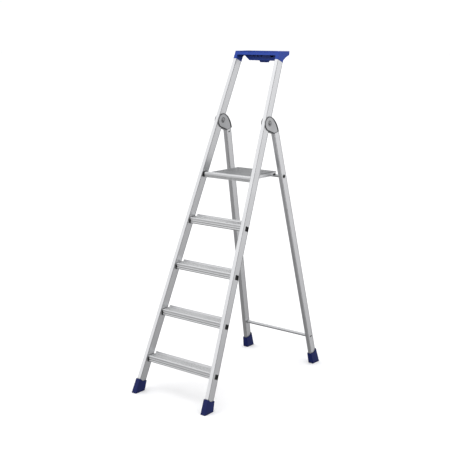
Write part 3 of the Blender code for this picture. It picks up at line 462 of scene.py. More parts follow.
STILE_ALONG = (math.sin(STILE_LEAN), math.cos(STILE_LEAN))
STILE_BACK = (math.cos(STILE_LEAN), -math.sin(STILE_LEAN))
STILE_BASE = tuple(
    centre - PIVOT_ALONG_STILE * along - PIVOT_INTO_STILE * back
    for centre, along, back in zip((PIVOT.y, PIVOT.z), STILE_ALONG, STILE_BACK)
)


def stile_rail(side):
    return Rail(side, STILE_BASE, STILE_ALONG, STILE_BACK, STILE_HALF_AT_FLOOR, -STILE_TAPER)


def leg_rail(side):
    along = (math.sin(LEG_LEAN), -math.cos(LEG_LEAN))
    back = (math.cos(LEG_LEAN), math.sin(LEG_LEAN))
    return Rail(side, (PIVOT.y, PIVOT.z), along, back, LEG_HALF_AT_PIVOT, LEG_SPREAD)


def stile_inner_x(y, z):
    """Distance from the middle plane to a stile's inner face, at a height and a depth."""
    s = (y - STILE_BASE[0]) * math.sin(STILE_LEAN) + (z - STILE_BASE[1]) * math.cos(STILE_LEAN)
    return STILE_HALF_AT_FLOOR - STILE_TAPER * s - STILE_WIDTH


def add_rings(shape, loops):
    return [[shape.verts.new(point) for point in loop] for loop in loops]


def bridge(shape, rings):
    """Faces from each ring of points to the next."""
    for first, second in zip(rings, rings[1:]):
        for i in range(len(first)):
            j = (i + 1) % len(first)
            shape.faces.new((first[i], first[j], second[j], second[i]))


def loft(loops):
    """A closed solid through loops of equally many points, capped at both ends."""
    shape = bmesh.new()
    rings = add_rings(shape, loops)
    bridge(shape, rings)
    shape.faces.new(rings[0])
    shape.faces.new(rings[-1])
    bmesh.ops.recalc_face_normals(shape, faces=shape.faces)
    return shape


def pipe(outer_loops, inner_loops):
    """A closed solid with a bore. Inner points that fall together are merged."""
    shape = bmesh.new()
    outer, inner = add_rings(shape, outer_loops), add_rings(shape, inner_loops)
    bridge(shape, outer + inner[::-1] + outer[:1])
    bmesh.ops.remove_doubles(shape, verts=shape.verts, dist=0.000001)
    bmesh.ops.dissolve_degenerate(shape, edges=shape.edges, dist=0.000001)
    bmesh.ops.recalc_face_normals(shape, faces=shape.faces)
    return shape


def arc(centre, radius, start, sweep, steps):
    """Points of an arc in a plane, with angles in degrees."""
    turns = [math.radians(start + sweep * i / steps) for i in range(steps + 1)]
    return [(centre[0] + radius * math.cos(a), centre[1] + radius * math.sin(a)) for a in turns]


def rounded_rectangle(low, high, radius, steps=4):
    left, right, bottom, top = low[0] + radius, high[0] - radius, low[1] + radius, high[1] - radius
    points = []
    for i, centre in enumerate(((right, top), (left, top), (left, bottom), (right, bottom))):
        points += arc(centre, radius, 90 * i, 90, steps)
    return points


def circle(centre, radius, steps=40):
    return arc(centre, radius, 0, 360 * (steps - 1) / steps, steps - 1)


def across(outline, x_low, x_high):
    """A solid with a side outline of (y, z) points, from one x to another."""
    return loft([[(x, y, z) for y, z in outline] for x in (x_low, x_high)])


def along_depth(outline, y_low, y_high):
    """A solid with a front outline of (x, z) points, from one depth to another."""
    return loft([[(x, y, z) for x, z in outline] for y in (y_low, y_high)])


def rectangle(low, high):
    return [(low[0], low[1]), (high[0], low[1]), (high[0], high[1]), (low[0], high[1])]


def block(low, high):
    return across(rectangle(low[1:], high[1:]), low[0], high[0])


def round_loops(centre, stations):
    """Circles about an axis along X, from stations of (x, radius)."""
    return [[(x, y, z) for y, z in circle(centre.yz, radius)] for x, radius in stations]


def turned(centre, stations):
    return loft(round_loops(centre, stations))


def shifted(first, second, *offsets):
    """Points of a plane outline at offsets from one place in it."""
    return [(first + a, second + b) for a, b in offsets]


def on_rail(rail, outline, stations):
    """A solid with a (u, t) section, swept along a rail through stations of s."""
    return loft([[rail.at(u, t, s) for u, t in outline] for s in stations])


def through_rail(rail, outline, stations):
    """A solid with a (t, s) outline, which crosses a rail through stations of (u, grow)."""
    middle = [sum(part) / len(outline) for part in zip(*outline)]
    loops = []
    for u, grow in stations:
        loop = []
        for t, s in outline:
            arm = Vector((t - middle[0], s - middle[1]))
            arm *= 1 + grow / arm.length
            loop.append(rail.at(u, middle[0] + arm.x, middle[1] + arm.y))
        loops.append(loop)
    return loft(loops)


# ---- Pieces ----


def new_object(name, shape):
    mesh = bpy.data.meshes.new(name)
    shape.to_mesh(mesh)
    shape.free()
    return add_object(name, mesh)


def bake(piece):
    """Replaces a piece's mesh by what its modifiers make of it."""
    graph = bpy.context.evaluated_depsgraph_get()
    mesh = bpy.data.meshes.new_from_object(piece.evaluated_get(graph))
    piece.modifiers.clear()
    piece.data = mesh


def combine(piece, shape, operation):
    helper = new_object("helper", shape)
    modifier = piece.modifiers.new("combine", "BOOLEAN")
    modifier.operation = operation
    modifier.solver = "EXACT"
    modifier.object = helper
    bake(piece)
    bpy.data.objects.remove(helper)


def join(piece, shape):
    combine(piece, shape, "UNION")


def cut(piece, shape):
    combine(piece, shape, "DIFFERENCE")


def drill(piece, centre, radius, start, end):
    """A round hole along X."""
    cut(piece, turned(centre, [(start, radius), (end, radius)]))


def round_edges(piece, width, angle):
    modifier = piece.modifiers.new("round", "BEVEL")
    modifier.width = width
    modifier.segments = 2
    modifier.limit_method = "ANGLE"
    modifier.angle_limit = math.radians(angle)
    bake(piece)


def middle_of(node):
    low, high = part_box(node)
    return (low + high) / 2


def add_piece(node, shape):
    return new_object("detailed_" + node, shape)


def place(piece, node, material=None, angle=30):
    """Finishes a piece: its material, its shading, its body, its slot and the solid that it stands for."""
    piece.data.materials.clear()
    piece.data.materials.append(MATERIALS[material or SLOT_OF[node]])
    piece.data.shade_smooth()
    piece.data.set_sharp_from_angle(angle=math.radians(angle))
    weighted = piece.modifiers.new("normals", "WEIGHTED_NORMAL")
    weighted.keep_sharp = True
    weighted.weight = 90
    bake(piece)
    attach(piece, BODY_OF[node])
    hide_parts(node)


def plug_outline(number, reach):
    s = FIRST_TREAD + TREAD_PITCH * number - PLUG_BELOW_TREAD
    low, high = (PLUG_DEPTH_CENTRE - reach, s - reach), (PLUG_DEPTH_CENTRE + reach, s + reach)
    return rounded_rectangle(low, high, PLUG_CORNER)


def oval_outline(along, size, gap=0.0):
    middle, radius = LEG_FRONT + OVAL_BACK, size[1] / 2 + gap
    shift = (size[0] - size[1]) / 2
    points = arc((middle + shift, along), radius, -90, 180, 8)
    return points + arc((middle - shift, along), radius, 90, 180, 8)


def step_front(number):
    """Depth of a step's front edge and height of its top. Step 4 is the platform."""
    s = FIRST_TREAD + TREAD_PITCH * number
    y = STILE_BASE[0] + s * math.sin(STILE_LEAN) + TREAD_SETBACK
    return y, STILE_BASE[1] + s * math.cos(STILE_LEAN)


# ---- Stiles and rear legs ----


def grooved_section(section):
    """Outer and inner (u, t) outlines of a box section with round corners and a groove near each edge."""
    width, front, depth = section
    r, back = CORNER_RADIUS, front + depth
    outer, inner = [], []

    def corner(centre, start):
        points = arc(centre, r, start, 90, 4)
        outer.extend(points)
        for u, t in points:
            inner.append((min(max(u, WALL - width), -WALL), min(max(t, front + WALL), back - WALL)))

    def groove(start, towards, inward):
        slope = 0.0003
        steps = ((0.0, 0.0), (slope, GROOVE_DEPTH), (GROOVE_WIDTH - slope, GROOVE_DEPTH), (GROOVE_WIDTH, 0.0))
        for run, sunk in steps:
            u = start[0] + towards[0] * run + inward[0] * sunk
            t = start[1] + towards[1] * run + inward[1] * sunk
            outer.append((u, t))
            wall = GROOVE_WALL if sunk else WALL
            inner.append((u + inward[0] * wall, t + inward[1] * wall))

    far = depth - GROOVE_EDGE - GROOVE_WIDTH
    corner((-r, front + r), -90)
    groove((0.0, front + GROOVE_EDGE), (0, 1), (-1, 0))
    groove((0.0, front + far), (0, 1), (-1, 0))
    corner((-r, back - r), 0)
    groove((-width / 2 + GROOVE_WIDTH / 2, back), (-1, 0), (0, -1))
    corner((r - width, back - r), 90)
    groove((-width, back - GROOVE_EDGE), (0, -1), (1, 0))
    groove((-width, back - far), (0, -1), (1, 0))
    corner((r - width, front + r), 180)
    return outer, inner


def hollow_rail(rail, section, stations):
    outlines = grooved_section(section)
    return pipe(*([[rail.at(u, t, s) for u, t in outline] for s in stations] for outline in outlines))


def add_stile(name, side):
    rail = stile_rail(side)
    node = "stile_" + name
    stile = add_piece(node, hollow_rail(rail, STILE_SECTION, (STILE_BOTTOM, STILE_TOP)))
    for number in range(TREAD_COUNT):
        hole = plug_outline(number, PLUG_SIZE / 2 + GAP)
        cut(stile, through_rail(rail, hole, ((-STILE_WIDTH - 0.002, 0.0), (0.002, 0.0))))
    middle = side * HINGE_MIDDLE
    drill(stile, PIVOT, PIN_RADIUS + GAP, middle - 0.02, middle + 0.02)
    inner_x = stile_inner_x(PLATFORM_PIVOT.y, PLATFORM_PIVOT.z)
    drill(stile, PLATFORM_PIVOT, PLATFORM_BORE, side * (inner_x - 0.006), side * (inner_x + 0.008))
    place(stile, node, "stile")


def leg_end(rail):
    return rail.along_to_height(LEG_FRONT, LEG_END_ABOVE_FLOOR)


def add_rear_leg(name, side):
    rail = leg_rail(side)
    node = "rear_leg_" + name
    leg = add_piece(node, hollow_rail(rail, LEG_SECTION, (LEG_TOP, leg_end(rail))))
    drill(leg, middle_of("cross_tube_upper"), UPPER_RADIUS + GAP, side * 0.15, side * 0.20)
    along = (middle_of("crossbar_lower") - PIVOT).yz.dot(Vector(rail.along))
    cut(leg, through_rail(rail, oval_outline(along, CROSSBAR_OVAL, GAP), THROUGH_LEG))
    cut(leg, through_rail(rail, oval_outline(LUG_ALONG, LUG_OVAL, GAP), INTO_LEG))
    place(leg, node, "leg")


# ---- Treads, nosing and deck ----


def ribs(start, end, z, pitch=RIB_PITCH, depth=RIB_DEPTH):
    """Top edge points of a finely ribbed surface, from the front to the back, at height z."""
    count = int((end - start) / pitch)
    margin = ((end - start) - count * pitch) / 2
    points = []
    for i in range(count):
        y = start + margin + i * pitch
        for share, sunk in ((0.10, 0.0), (0.22, 0.15), (0.34, 1.0), (0.66, 1.0), (0.78, 0.15), (0.90, 0.0)):
            points.append((y + pitch * share, z - depth * sunk))
    return points


def tread_outline(y, z):
    """Side outline of the open-bottomed tread section, from the front bottom edge round the top."""
    back, low = y + TREAD_DEPTH, z - TREAD_HEIGHT
    rear_low, wall = z - TREAD_REAR_HEIGHT, y + TREAD_DEPTH - UPSTAND_WALL
    skin = TREAD_SKIN + RIB_DEPTH
    points = shifted(y, low, *TREAD_FRONT)
    points += arc((y + 0.0044, z - 0.0044), 0.0044, 180, -90, 6)
    points += ribs(y + 0.0060, wall - UPSTAND_FILLET - 0.0006, z)
    points += arc((wall - UPSTAND_FILLET, z + UPSTAND_FILLET), UPSTAND_FILLET, 270, 90, 6)
    points += [(wall, z + UPSTAND - 0.0010)]
    points += arc(((wall + back) / 2, z + UPSTAND - 0.0013), 0.0013, 170, -160, 6)
    points += [(back, z + UPSTAND - 0.0014), (back, rear_low), (back - 0.010, rear_low)]
    points += [(back - 0.010, rear_low + TREAD_SKIN), (back - TREAD_SKIN, rear_low + TREAD_SKIN)]
    points += [(back - TREAD_SKIN, z - skin - 0.0010)]
    for centre in (back - 0.020, y + 0.022):
        points += shifted(centre, z - skin, (0.001, 0), (0.001, -0.006), (-0.001, -0.006), (-0.001, 0))
    inner = y + TREAD_SKIN + 0.0030
    points += [(inner, z - skin - 0.0006), (inner, low + TREAD_SKIN)]
    return points + [(y + 0.010, low + TREAD_SKIN), (y + 0.010, low)]


def at_tread_end(side, outline, inwards):
    """A (y, z) outline on a plane parallel to the stile's inner face, a distance inside the tread's end."""
    return [(side * (stile_inner_x(y, z) - GAP - inwards), y, z) for y, z in outline]


def add_tread(number):
    y, z = step_front(number)
    node = f"tread_{number + 1}"
    outline = tread_outline(y, z)
    tread = add_piece(node, loft([at_tread_end(side, outline, 0.0) for side in (-1, 1)]))
    notch = rectangle((y - 0.001, z - TREAD_HEIGHT - 0.001), (y + 0.011, z - FLANGE_TOP))
    for side in SIDES.values():
        cut(tread, loft([at_tread_end(side, notch, inwards) for inwards in (FLANGE + GAP, -0.001)]))
        cut(tread, upstand_slope(side, y, z))
    place(tread, node)


def upstand_slope(side, y, z):
    """The wedge that slopes one end of the rear upstand."""
    back, start, top = y + TREAD_DEPTH, z + UPSTAND / 2, z + UPSTAND + 0.001
    end = stile_inner_x(back, z) + 0.002
    slope = [(end, start), (end, top), (end - 0.0025 - UPSTAND_SLOPE, top)]
    return along_depth([(side * x, height) for x, height in slope], back - 0.006, back + 0.002)


def flange_outline(y, z):
    front, back = y + RIB_DEPTH, y + TREAD_DEPTH - TREAD_SKIN - GAP
    wall = y + TREAD_SKIN + 0.0033
    low, top = z - TREAD_HEIGHT, z - TREAD_SKIN - 0.0011
    rear_low = z - TREAD_REAR_HEIGHT + TREAD_SKIN + GAP
    points = [(front, low), (y + TREAD_DEPTH / 2, low), (y + TREAD_DEPTH - 0.0103, rear_low)]
    points += [(back, rear_low), (back, top), (wall, top)]
    return points + [(wall, z - FLANGE_TOP - GAP), (front, z - FLANGE_TOP - GAP)]


def add_tread_bracket(number, name, side):
    """Flange inside the tread's end, a plug with a sunk face through the stile, and a ribbed spigot."""
    y, z = step_front(number)
    rail = stile_rail(side)
    node = f"tread_bracket_{number + 1}_{name}"
    flange = flange_outline(y, z)
    bracket = add_piece(node, loft([at_tread_end(side, flange, inwards) for inwards in (FLANGE, 0.0)]))
    face = ((-STILE_WIDTH - 0.002, 0.0), (PLUG_PROUD - 0.0008, 0.0), (PLUG_PROUD, -0.0008))
    face += ((PLUG_PROUD, -0.0030), (-0.0022, -0.0038))
    join(bracket, through_rail(rail, plug_outline(number, PLUG_SIZE / 2), face))
    root = stile_inner_x(y + TREAD_DEPTH, z) - 0.002
    skin = TREAD_SKIN + RIB_DEPTH + GAP
    low_z, high_z = z - TREAD_REAR_HEIGHT + TREAD_SKIN + GAP, z - skin - 0.0001
    for start, end in ((0.0056, 0.0206), (0.0234, 0.0406), (0.0434, 0.0590)):
        low = (side * root, y + start, low_z)
        join(bracket, block(low, (side * (root - FLANGE - 0.012), y + end, high_z)))
    place(bracket, node)


def nosing_outline(y, z, height):
    low = z - height
    points = shifted(y, low, (0.013, 0), (0.0012, 0), (0, 0.0012))
    for i in range(4):
        start = low + 0.0035 + i * 0.0032
        points += shifted(y, start, (0, 0), (0.001, 0.0005), (0.001, 0.0014), (0, 0.0019))
    points += arc((y + 0.0045, z - 0.0045), 0.0045, 180, -90, 6)
    for start in (y + 0.0080, y + 0.0140):
        points += shifted(start, z, (0, 0), (0.0008, -0.0008), (0.0024, -0.0008), (0.0032, 0))
    return points + shifted(y, z, (0.022, 0), (0.022, -0.019))


def add_nosing():
    node = "platform_nosing"
    low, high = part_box(node)
    y, z, half = low.y, high.z, high.x
    nosing = add_piece(node, across(nosing_outline(y, z, high.z - low.z), -half, half))
    drill(nosing, PLATFORM_PIVOT, PLATFORM_BORE, -0.16, 0.16)
    cut(nosing, block((-0.16, y + 0.0035, z - 0.0080), (0.16, y + 0.020, z - 0.0026)))
    place(nosing, node)


def add_deck():
    """The ribbed plate behind the nosing, with a short flange at the back."""
    node = "platform_deck"
    low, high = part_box(node)
    front, back, top, half = low.y, high.y, high.z, high.x
    under, rear_low = top - DECK_SKIN, top - 0.011
    outline = [(front, top)] + ribs(front, back - 0.004, top, 0.0040, 0.0008)
    outline += arc((back - 0.0015, top - 0.0015), 0.0015, 90, -90, 3)
    outline += [(back, rear_low), (back - 0.002, rear_low), (back - 0.002, under), (front, under)]
    deck = add_piece(node, across(outline, -half, half))
    place(deck, node)


def add_deck_flange(name, side):
    """The plate's side flange, with a sunk line, a rolled bead and a shorter stretch at the back."""
    low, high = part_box("platform_deck")
    top, bottom, half = high.z, low.z, high.x
    outline = shifted(half, top, (-0.002, -0.0032), (-0.001, -0.0032), (-0.001, -0.0052), (0, -0.0058))
    outline += shifted(half, bottom, (0, 0.0052), (-0.001, 0.0044), (-0.001, 0.003))
    outline += arc((half - 0.0014, bottom + 0.0014), 0.0014, 50, -140, 6)
    outline += shifted(half, bottom, (-0.0026, 0.0004), (-0.0026, 0.0028), (-0.002, 0.0034))
    turn, ramp = low.y + 0.2060, low.y + 0.2157
    short = [(x, max(z, top - 0.0105 + 0.12 * (z - bottom))) for x, z in outline]
    runs = ((low.y, outline), (turn, outline), (ramp, short), (high.y - 0.0020, short))
    loops = [[(side * x, y, z) for x, z in run] for y, run in runs]
    flange = new_object("detailed_platform_flange_" + name, loft(loops))
    place(flange, "platform_deck", "flange")


# ---- Feet ----


def foot_shape(rail, section, walls, top_walls, tops):
    """A tapered cap on the floor with a round sole edge, a parting groove and a chamfered rim."""
    width, front, depth = section
    loops = []
    for share, inset in FOOT_STATIONS:
        side, ahead, behind = (low + (high - low) * share - inset for low, high in zip(walls, top_walls))
        start, end = (-width - side, front - ahead), (side, front + depth + behind)
        loop = []
        for u, t in rounded_rectangle(start, end, FOOT_CORNER, 6):
            bottom = rail.along_to_height(t, 0.0)
            top = tops[0] + (tops[1] - tops[0]) * (t - front) / depth
            loop.append(rail.at(u, t, bottom + (top - bottom) * share))
        loops.append(loop)
    return loft(loops)


def add_foot(node, rail, section, shape, pocket_ends, scallop_s):
    """Adds a foot with scalloped side walls, a pocket for its rail and grip grooves in its sole."""
    width, front, depth = section
    foot = add_piece(node, shape)
    scallop = circle((front + depth / 2, scallop_s), SCALLOP_RADIUS, 64)
    cut(foot, through_rail(rail, scallop, ((-width - 0.02, 0.0), (0.02, 0.0))))
    round_edges(foot, 0.0008, 40)
    pocket = rectangle((-width - GAP, front - GAP), (GAP, front + depth + GAP))
    cut(foot, on_rail(rail, pocket, pocket_ends))
    low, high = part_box(node)
    for i in range(int((high.y - low.y - 0.012) / SOLE_PITCH)):
        y = low.y + 0.009 + SOLE_PITCH * i
        cut(foot, block((low.x - 0.01, y, -0.001), (high.x + 0.01, y + SOLE_GROOVE, SOLE_GROOVE)))
    place(foot, node)


def add_front_foot(name, side):
    rail = stile_rail(side)
    walls, top_walls = (0.0056, 0.0042, 0.009), (0.0042, 0.0042, 0.003)
    shape = foot_shape(rail, STILE_SECTION, walls, top_walls, (FOOT_TOP, FOOT_TOP))
    ends = (STILE_BOTTOM - GAP, FOOT_TOP + 0.02)
    scallop_s = FOOT_TOP - SCALLOP_DEPTH + SCALLOP_RADIUS
    add_foot("front_foot_" + name, rail, STILE_SECTION, shape, ends, scallop_s)


def add_rear_foot(name, side):
    rail = leg_rail(side)
    walls, top_walls = (0.0056, 0.0050, 0.0125), (0.0042, 0.0042, 0.0042)
    shape = foot_shape(rail, LEG_SECTION, walls, top_walls, REAR_FOOT_TOPS)
    ends = (leg_end(rail) + GAP, REAR_FOOT_TOPS[1] - 0.03)
    scallop_s = sum(REAR_FOOT_TOPS) / 2 + SCALLOP_DEPTH - SCALLOP_RADIUS
    add_foot("rear_foot_" + name, rail, LEG_SECTION, shape, ends, scallop_s)


# ---- Hinges ----


def housing_outline(inset, extra=0.0):
    """The housing's side outline as (t, s) of the leg: a disc, then a long back curve that extra insets."""
    points = []
    for i in range(33):
        angle = math.radians(35 + 145 * i / 32)
        radius = HOUSING_ROUND - inset
        points.append((-HOUSING_SHIFT - radius * math.sin(angle), HOUSING_SHIFT + radius * math.cos(angle)))
    centre = HOUSING_END + 0.004
    long_axis = centre + HOUSING_ROUND - HOUSING_SHIFT
    for i in range(1, 33):
        s = centre - (long_axis - inset) * math.cos(math.radians(86.7 * i / 32))
        share = (centre - s) / (long_axis - inset)
        t = -HOUSING_SHIFT + (HOUSING_BACK_REACH - inset - extra) * math.sqrt(1 - share * share)
        points.append((t, min(s, HOUSING_END - inset)))
    points.append((LEG_FRONT - 0.002 + inset, HOUSING_END - inset))
    return points


def housing_point(side, offset, t, s):
    y = PIVOT.y + s * math.sin(LEG_LEAN) + t * math.cos(LEG_LEAN)
    z = PIVOT.z - s * math.cos(LEG_LEAN) + t * math.sin(LEG_LEAN)
    return Vector((side * (HINGE_MIDDLE + offset - HOUSING_LEAN_IN * (z - PIVOT.z)), y, z))


def stile_slot_outline():
    """The space that the stile needs between the cheeks, folded and unfolded, as (t, s) of the leg."""
    clear = STILE_DEPTH - PIVOT_INTO_STILE + 0.001
    fold = STILE_LEAN + LEG_LEAN
    corner = (clear, clear * math.tan(fold / 2))
    beyond = 0.12
    above = (corner[0] + beyond * math.sin(fold), corner[1] - beyond * math.cos(fold))
    return [corner, above, (-beyond, -beyond), (-beyond, beyond), (clear, beyond)]


def cheek_ring(side, end, inner, outer, depth):
    """A ring-shaped cutter that sinks a groove round the pivot into one cheek's face."""
    face = HOUSING_HALF * end
    loops = []
    for radius in (outer, inner):
        loop = []
        for offset in (face + 0.002 * end, face - depth * end):
            loop.append([housing_point(side, offset, t, s) for t, s in circle((0.0, 0.0), radius, 48)])
        loops.append(loop)
    return pipe(*loops)


def add_hinge_housing(name, side):
    """Two cheeks with a rim painted dark as shade and a paler raised cover, a solid tail and a tongue inside the
    leg.
    """
    node = "hinge_housing_" + name
    stations = [(-offset, inset, extra) for offset, inset, extra in HOUSING_STATIONS[::-1]]
    stations += HOUSING_STATIONS
    loops = []
    for offset, inset, extra in stations:
        loops.append([housing_point(side, offset, t, s) for t, s in housing_outline(inset, extra)])
    housing = add_piece(node, loft(loops))
    slot = stile_slot_outline()
    ends = (-HOUSING_SLOT_HALF, HOUSING_SLOT_HALF)
    cut(housing, loft([[housing_point(side, offset, t, s) for t, s in slot] for offset in ends]))
    drill(housing, PIVOT, PIN_RADIUS + GAP, side * 0.12, side * 0.185)
    for end in (-1, 1):
        cut(housing, cheek_ring(side, end, 0.0126, 0.0148, 0.0011))
        cut(housing, cheek_ring(side, end, 0.0088, 0.0104, 0.0009))
    rail = leg_rail(side)
    inside = WALL + GAP
    low, high = (inside - LEG_WIDTH, LEG_FRONT + inside), (-inside, LEG_FRONT + LEG_DEPTH - inside)
    tongue = rounded_rectangle(low, high, CORNER_RADIUS - inside)
    join(housing, on_rail(rail, tongue, (HOUSING_END - 0.012, TONGUE_END)))
    cut(housing, through_rail(rail, oval_outline(LUG_ALONG, LUG_OVAL, GAP), INTO_LEG))
    place(housing, node)
    # The rim faces get the near-black plastic as painted shade.
    housing.data.materials.append(MATERIALS["painted_shade_rim"])
    for face in housing.data.polygons:
        middle = face.center
        offset = side * middle.x - HINGE_MIDDLE + HOUSING_LEAN_IN * (middle.z - PIVOT.z)
        if HOUSING_SHADED_RIM[0] < abs(offset) < HOUSING_SHADED_RIM[1]:
            face.material_index = 1


def add_hinge_pin(name, side):
    """A rivet through both cheeks and the stile, with domed, dimpled heads."""
    node = "hinge_pin_" + name
    seat = HOUSING_HALF + HOUSING_LEAN_IN * PIN_HEAD_RADIUS + GAP
    head = ((0.0006, 0.0021), (0.0018, 0.0023), (0.0024, 0.0030), (0.0045, 0.0029), (0.0064, 0.0025))
    head += ((0.0078, 0.0017), (0.0085, 0.0007), (0.0085, 0.0), (PIN_RADIUS, 0.0))
    stations = []
    for end in (-1, 1):
        run = [(side * (HINGE_MIDDLE + end * (seat + height)), radius) for radius, height in head]
        stations += run if end < 0 else run[::-1]
    place(add_piece(node, turned(PIVOT, stations)), node, "rivet_steel")


def add_housing_lug(name, side):
    """The oval peg that locks the tongue in the leg, with a sunk and chamfered end."""
    node = "housing_lug_" + name
    rail = leg_rail(side)
    face = -LEG_WIDTH - PLUG_PROUD
    stations = ((face + 0.0006, -0.0014), (face, -0.0009), (face, -0.0003), (face + 0.0003, 0.0))
    stations += ((-LEG_WIDTH / 2 - GAP, 0.0),)
    place(add_piece(node, through_rail(rail, oval_outline(LUG_ALONG, LUG_OVAL), stations)), node)


# ---- Cross tubes ----


def leg_face_x(centre, radius, inner):
    """The least distance of a leg's outer or inner face from the middle plane, round a cross tube."""
    rail = leg_rail(1)
    s = (centre - PIVOT).yz.dot(Vector(rail.along))
    return rail.half + rail.spread * (s - radius) - (LEG_WIDTH if inner else 0.0)


def tube_shape(centre, reach, radius):
    """A tube across the ladder with chamfered ends and a rolled ring near each end."""
    ends = ((0.0, -0.0006), (0.0006, 0.0), (0.030, 0.0), (0.0306, -0.0004), (0.0330, -0.0004), (0.0336, 0.0))
    stations = [(reach - inwards, radius + grow) for inwards, grow in ends]
    outer = stations + [(-x, r) for x, r in stations[::-1]]
    bore = radius - TUBE_WALL
    middle = [(x, bore - 0.0002) for x, r in outer[1:-1]]
    inner = [(reach, bore + 0.0004)] + middle + [(-reach, bore + 0.0004)]
    return pipe(round_loops(centre, outer), round_loops(centre, inner))


def add_cross_tubes():
    for node, radius in (("cross_tube_upper", UPPER_RADIUS), ("crossbar_lower", LOWER_RADIUS)):
        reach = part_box(node)[1].x
        place(add_piece(node, tube_shape(middle_of(node), reach, radius)), node, "tube")
    for name, side in SIDES.items():
        add_tube_plug(name, side, middle_of("cross_tube_upper"))
        add_crossbar_pin(name, side, middle_of("crossbar_lower"))


def add_tube_plug(name, side, centre):
    node = "cross_tube_plug_" + name
    reach = leg_face_x(centre, UPPER_RADIUS, False)
    seat = reach + 2 * LEG_SPREAD * 0.0090 + GAP
    head = ((0.0, 0.0065), (0.0, 0.0090), (0.0006, 0.0090), (0.0012, 0.0084), (0.0015, 0.0070))
    head += ((0.0015, 0.0046), (0.0009, 0.0042), (0.0009, 0.0006))
    stations = [(reach - 0.012, 0.0055), (reach - 0.0105, 0.0065)]
    stations += [(seat + proud, radius) for proud, radius in head]
    place(add_piece(node, turned(centre, [(side * x, radius) for x, radius in stations])), node)


def add_crossbar_pin(name, side, centre):
    """An oval bar through the leg with a round spigot inside the crossbar."""
    node = "crossbar_pin_" + name
    rail = leg_rail(side)
    spigot = LOWER_RADIUS - TUBE_WALL - GAP
    reach = leg_face_x(centre, LOWER_RADIUS, True) - GAP
    stations = [(reach - 0.012, spigot - 0.001), (reach - 0.011, spigot), (reach + GAP / 2, spigot)]
    pin = add_piece(node, turned(centre, [(side * x, radius) for x, radius in stations]))
    along = (centre - PIVOT).yz.dot(Vector(rail.along))
    neck = ((-LEG_WIDTH - 0.006, 0.0), (-LEG_WIDTH + 0.001, 0.0))
    join(pin, through_rail(rail, oval_outline(along, (2 * spigot - 0.001, CROSSBAR_OVAL[1])), neck))
    bar = ((-LEG_WIDTH + GAP, 0.0), (PLUG_PROUD - 0.0004, 0.0), (PLUG_PROUD, -0.0004))
    bar += ((PLUG_PROUD, -0.0011), (0.0, -0.0015))
    join(pin, through_rail(rail, oval_outline(along, CROSSBAR_OVAL), bar))
    place(pin, node)


# ---- Platform bearings and hooks ----


def add_bearing(name, side):
    """The block on the stile's inner face that the platform's pin turns in, with a chamfered face and a bore for
    the pin.
    """
    node = "platform_bearing_" + name
    low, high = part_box(node)
    corners = rounded_rectangle((low.y, low.z), (high.y, high.z), 0.008, 8)
    near = min(abs(low.x), abs(high.x))
    middle = ((low.y + high.y) / 2, (low.z + high.z) / 2)
    smaller = [(middle[0] + (y - middle[0]) * 0.94, middle[1] + (z - middle[1]) * 0.94) for y, z in corners]
    loops = [[(side * near, y, z) for y, z in smaller], [(side * (near + 0.0009), y, z) for y, z in corners]]
    loops.append([(side * (stile_inner_x(y, z) - GAP), y, z) for y, z in corners])
    bearing = add_piece(node, loft(loops))
    drill(bearing, PLATFORM_PIVOT, PLATFORM_BORE, side * 0.14, side * 0.18)
    place(bearing, node)


def hook_outline(tube):
    """A saddle over the cross tube with a lip behind it, open to the front and below."""
    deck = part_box("platform_deck")[1]
    top, rear = deck.z - DECK_SKIN - GAP, deck.y - 0.002 - GAP
    back, low = tube.y + 0.0125, top - 0.0081
    points = shifted(tube.y - 0.022, top, (0.0005, 0), (0, -0.0005), (0, -0.003), (0.0005, -0.0035))
    points += arc((tube.y, tube.z), UPPER_RADIUS + GAP, 100, -108, 18)
    points += shifted(back, tube.z, (-0.0015, -0.004), (-0.0004, -0.0036), (0, -0.0026))
    return points + [(back, low - 0.0004), (rear - 0.0006, low - 0.0003), (rear, low), (rear, top)]


def add_hook(name):
    node = "platform_hook_" + name
    low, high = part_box(node)
    tube = middle_of("cross_tube_upper")
    hook = add_piece(node, across(hook_outline(tube), low.x, high.x))
    round_edges(hook, 0.0005, 50)
    for share in (0.27, 0.73):
        x = low.x + (high.x - low.x) * share
        slit = (x - 0.0015, tube.y + 0.0100, tube.z - 0.01)
        cut(hook, block(slit, (x + 0.0015, tube.y + 0.02, tube.z + 0.006)))
    place(hook, node, "hook_grey")


# ---- Tool tray ----

BIN_FRONT_Y = STILE_BASE[0] + BIN_FRONT
TRAY_REAR_Y = STILE_BASE[0] + TRAY_REAR


def tray_front_y(height, t=0.0):
    """Depth of the tray's slanted front at a height, flush with the stiles' fronts."""
    return STILE_BASE[0] + (t + (height - STILE_BASE[1]) * math.sin(STILE_LEAN)) / math.cos(STILE_LEAN)


def tray_outer_x(y, z):
    return stile_inner_x(y, z) + STILE_WIDTH


def tapered_bin(inset, top, floor):
    """The bin's outer shape or, with an inset, the space inside it."""
    front, back = BIN_FRONT_Y + inset, TRAY_REAR_Y - 0.002 - inset
    slope = (BIN_TOP_HALF - BIN_FLOOR_HALF) / (BAND_LOW - BIN_FLOOR)
    loops = []
    for z, smaller in ((floor, TRAY_ROUND), (floor + TRAY_ROUND, 0.0), (top, 0.0)):
        half = min(BIN_FLOOR_HALF - inset + slope * max(0.0, z - BIN_FLOOR), BIN_TOP_HALF - inset) - smaller
        outline = rounded_rectangle((-half, front + smaller), (half, back - smaller), 0.0045 - inset)
        loops.append([(x, y, z) for x, y in outline])
    return loft(loops)


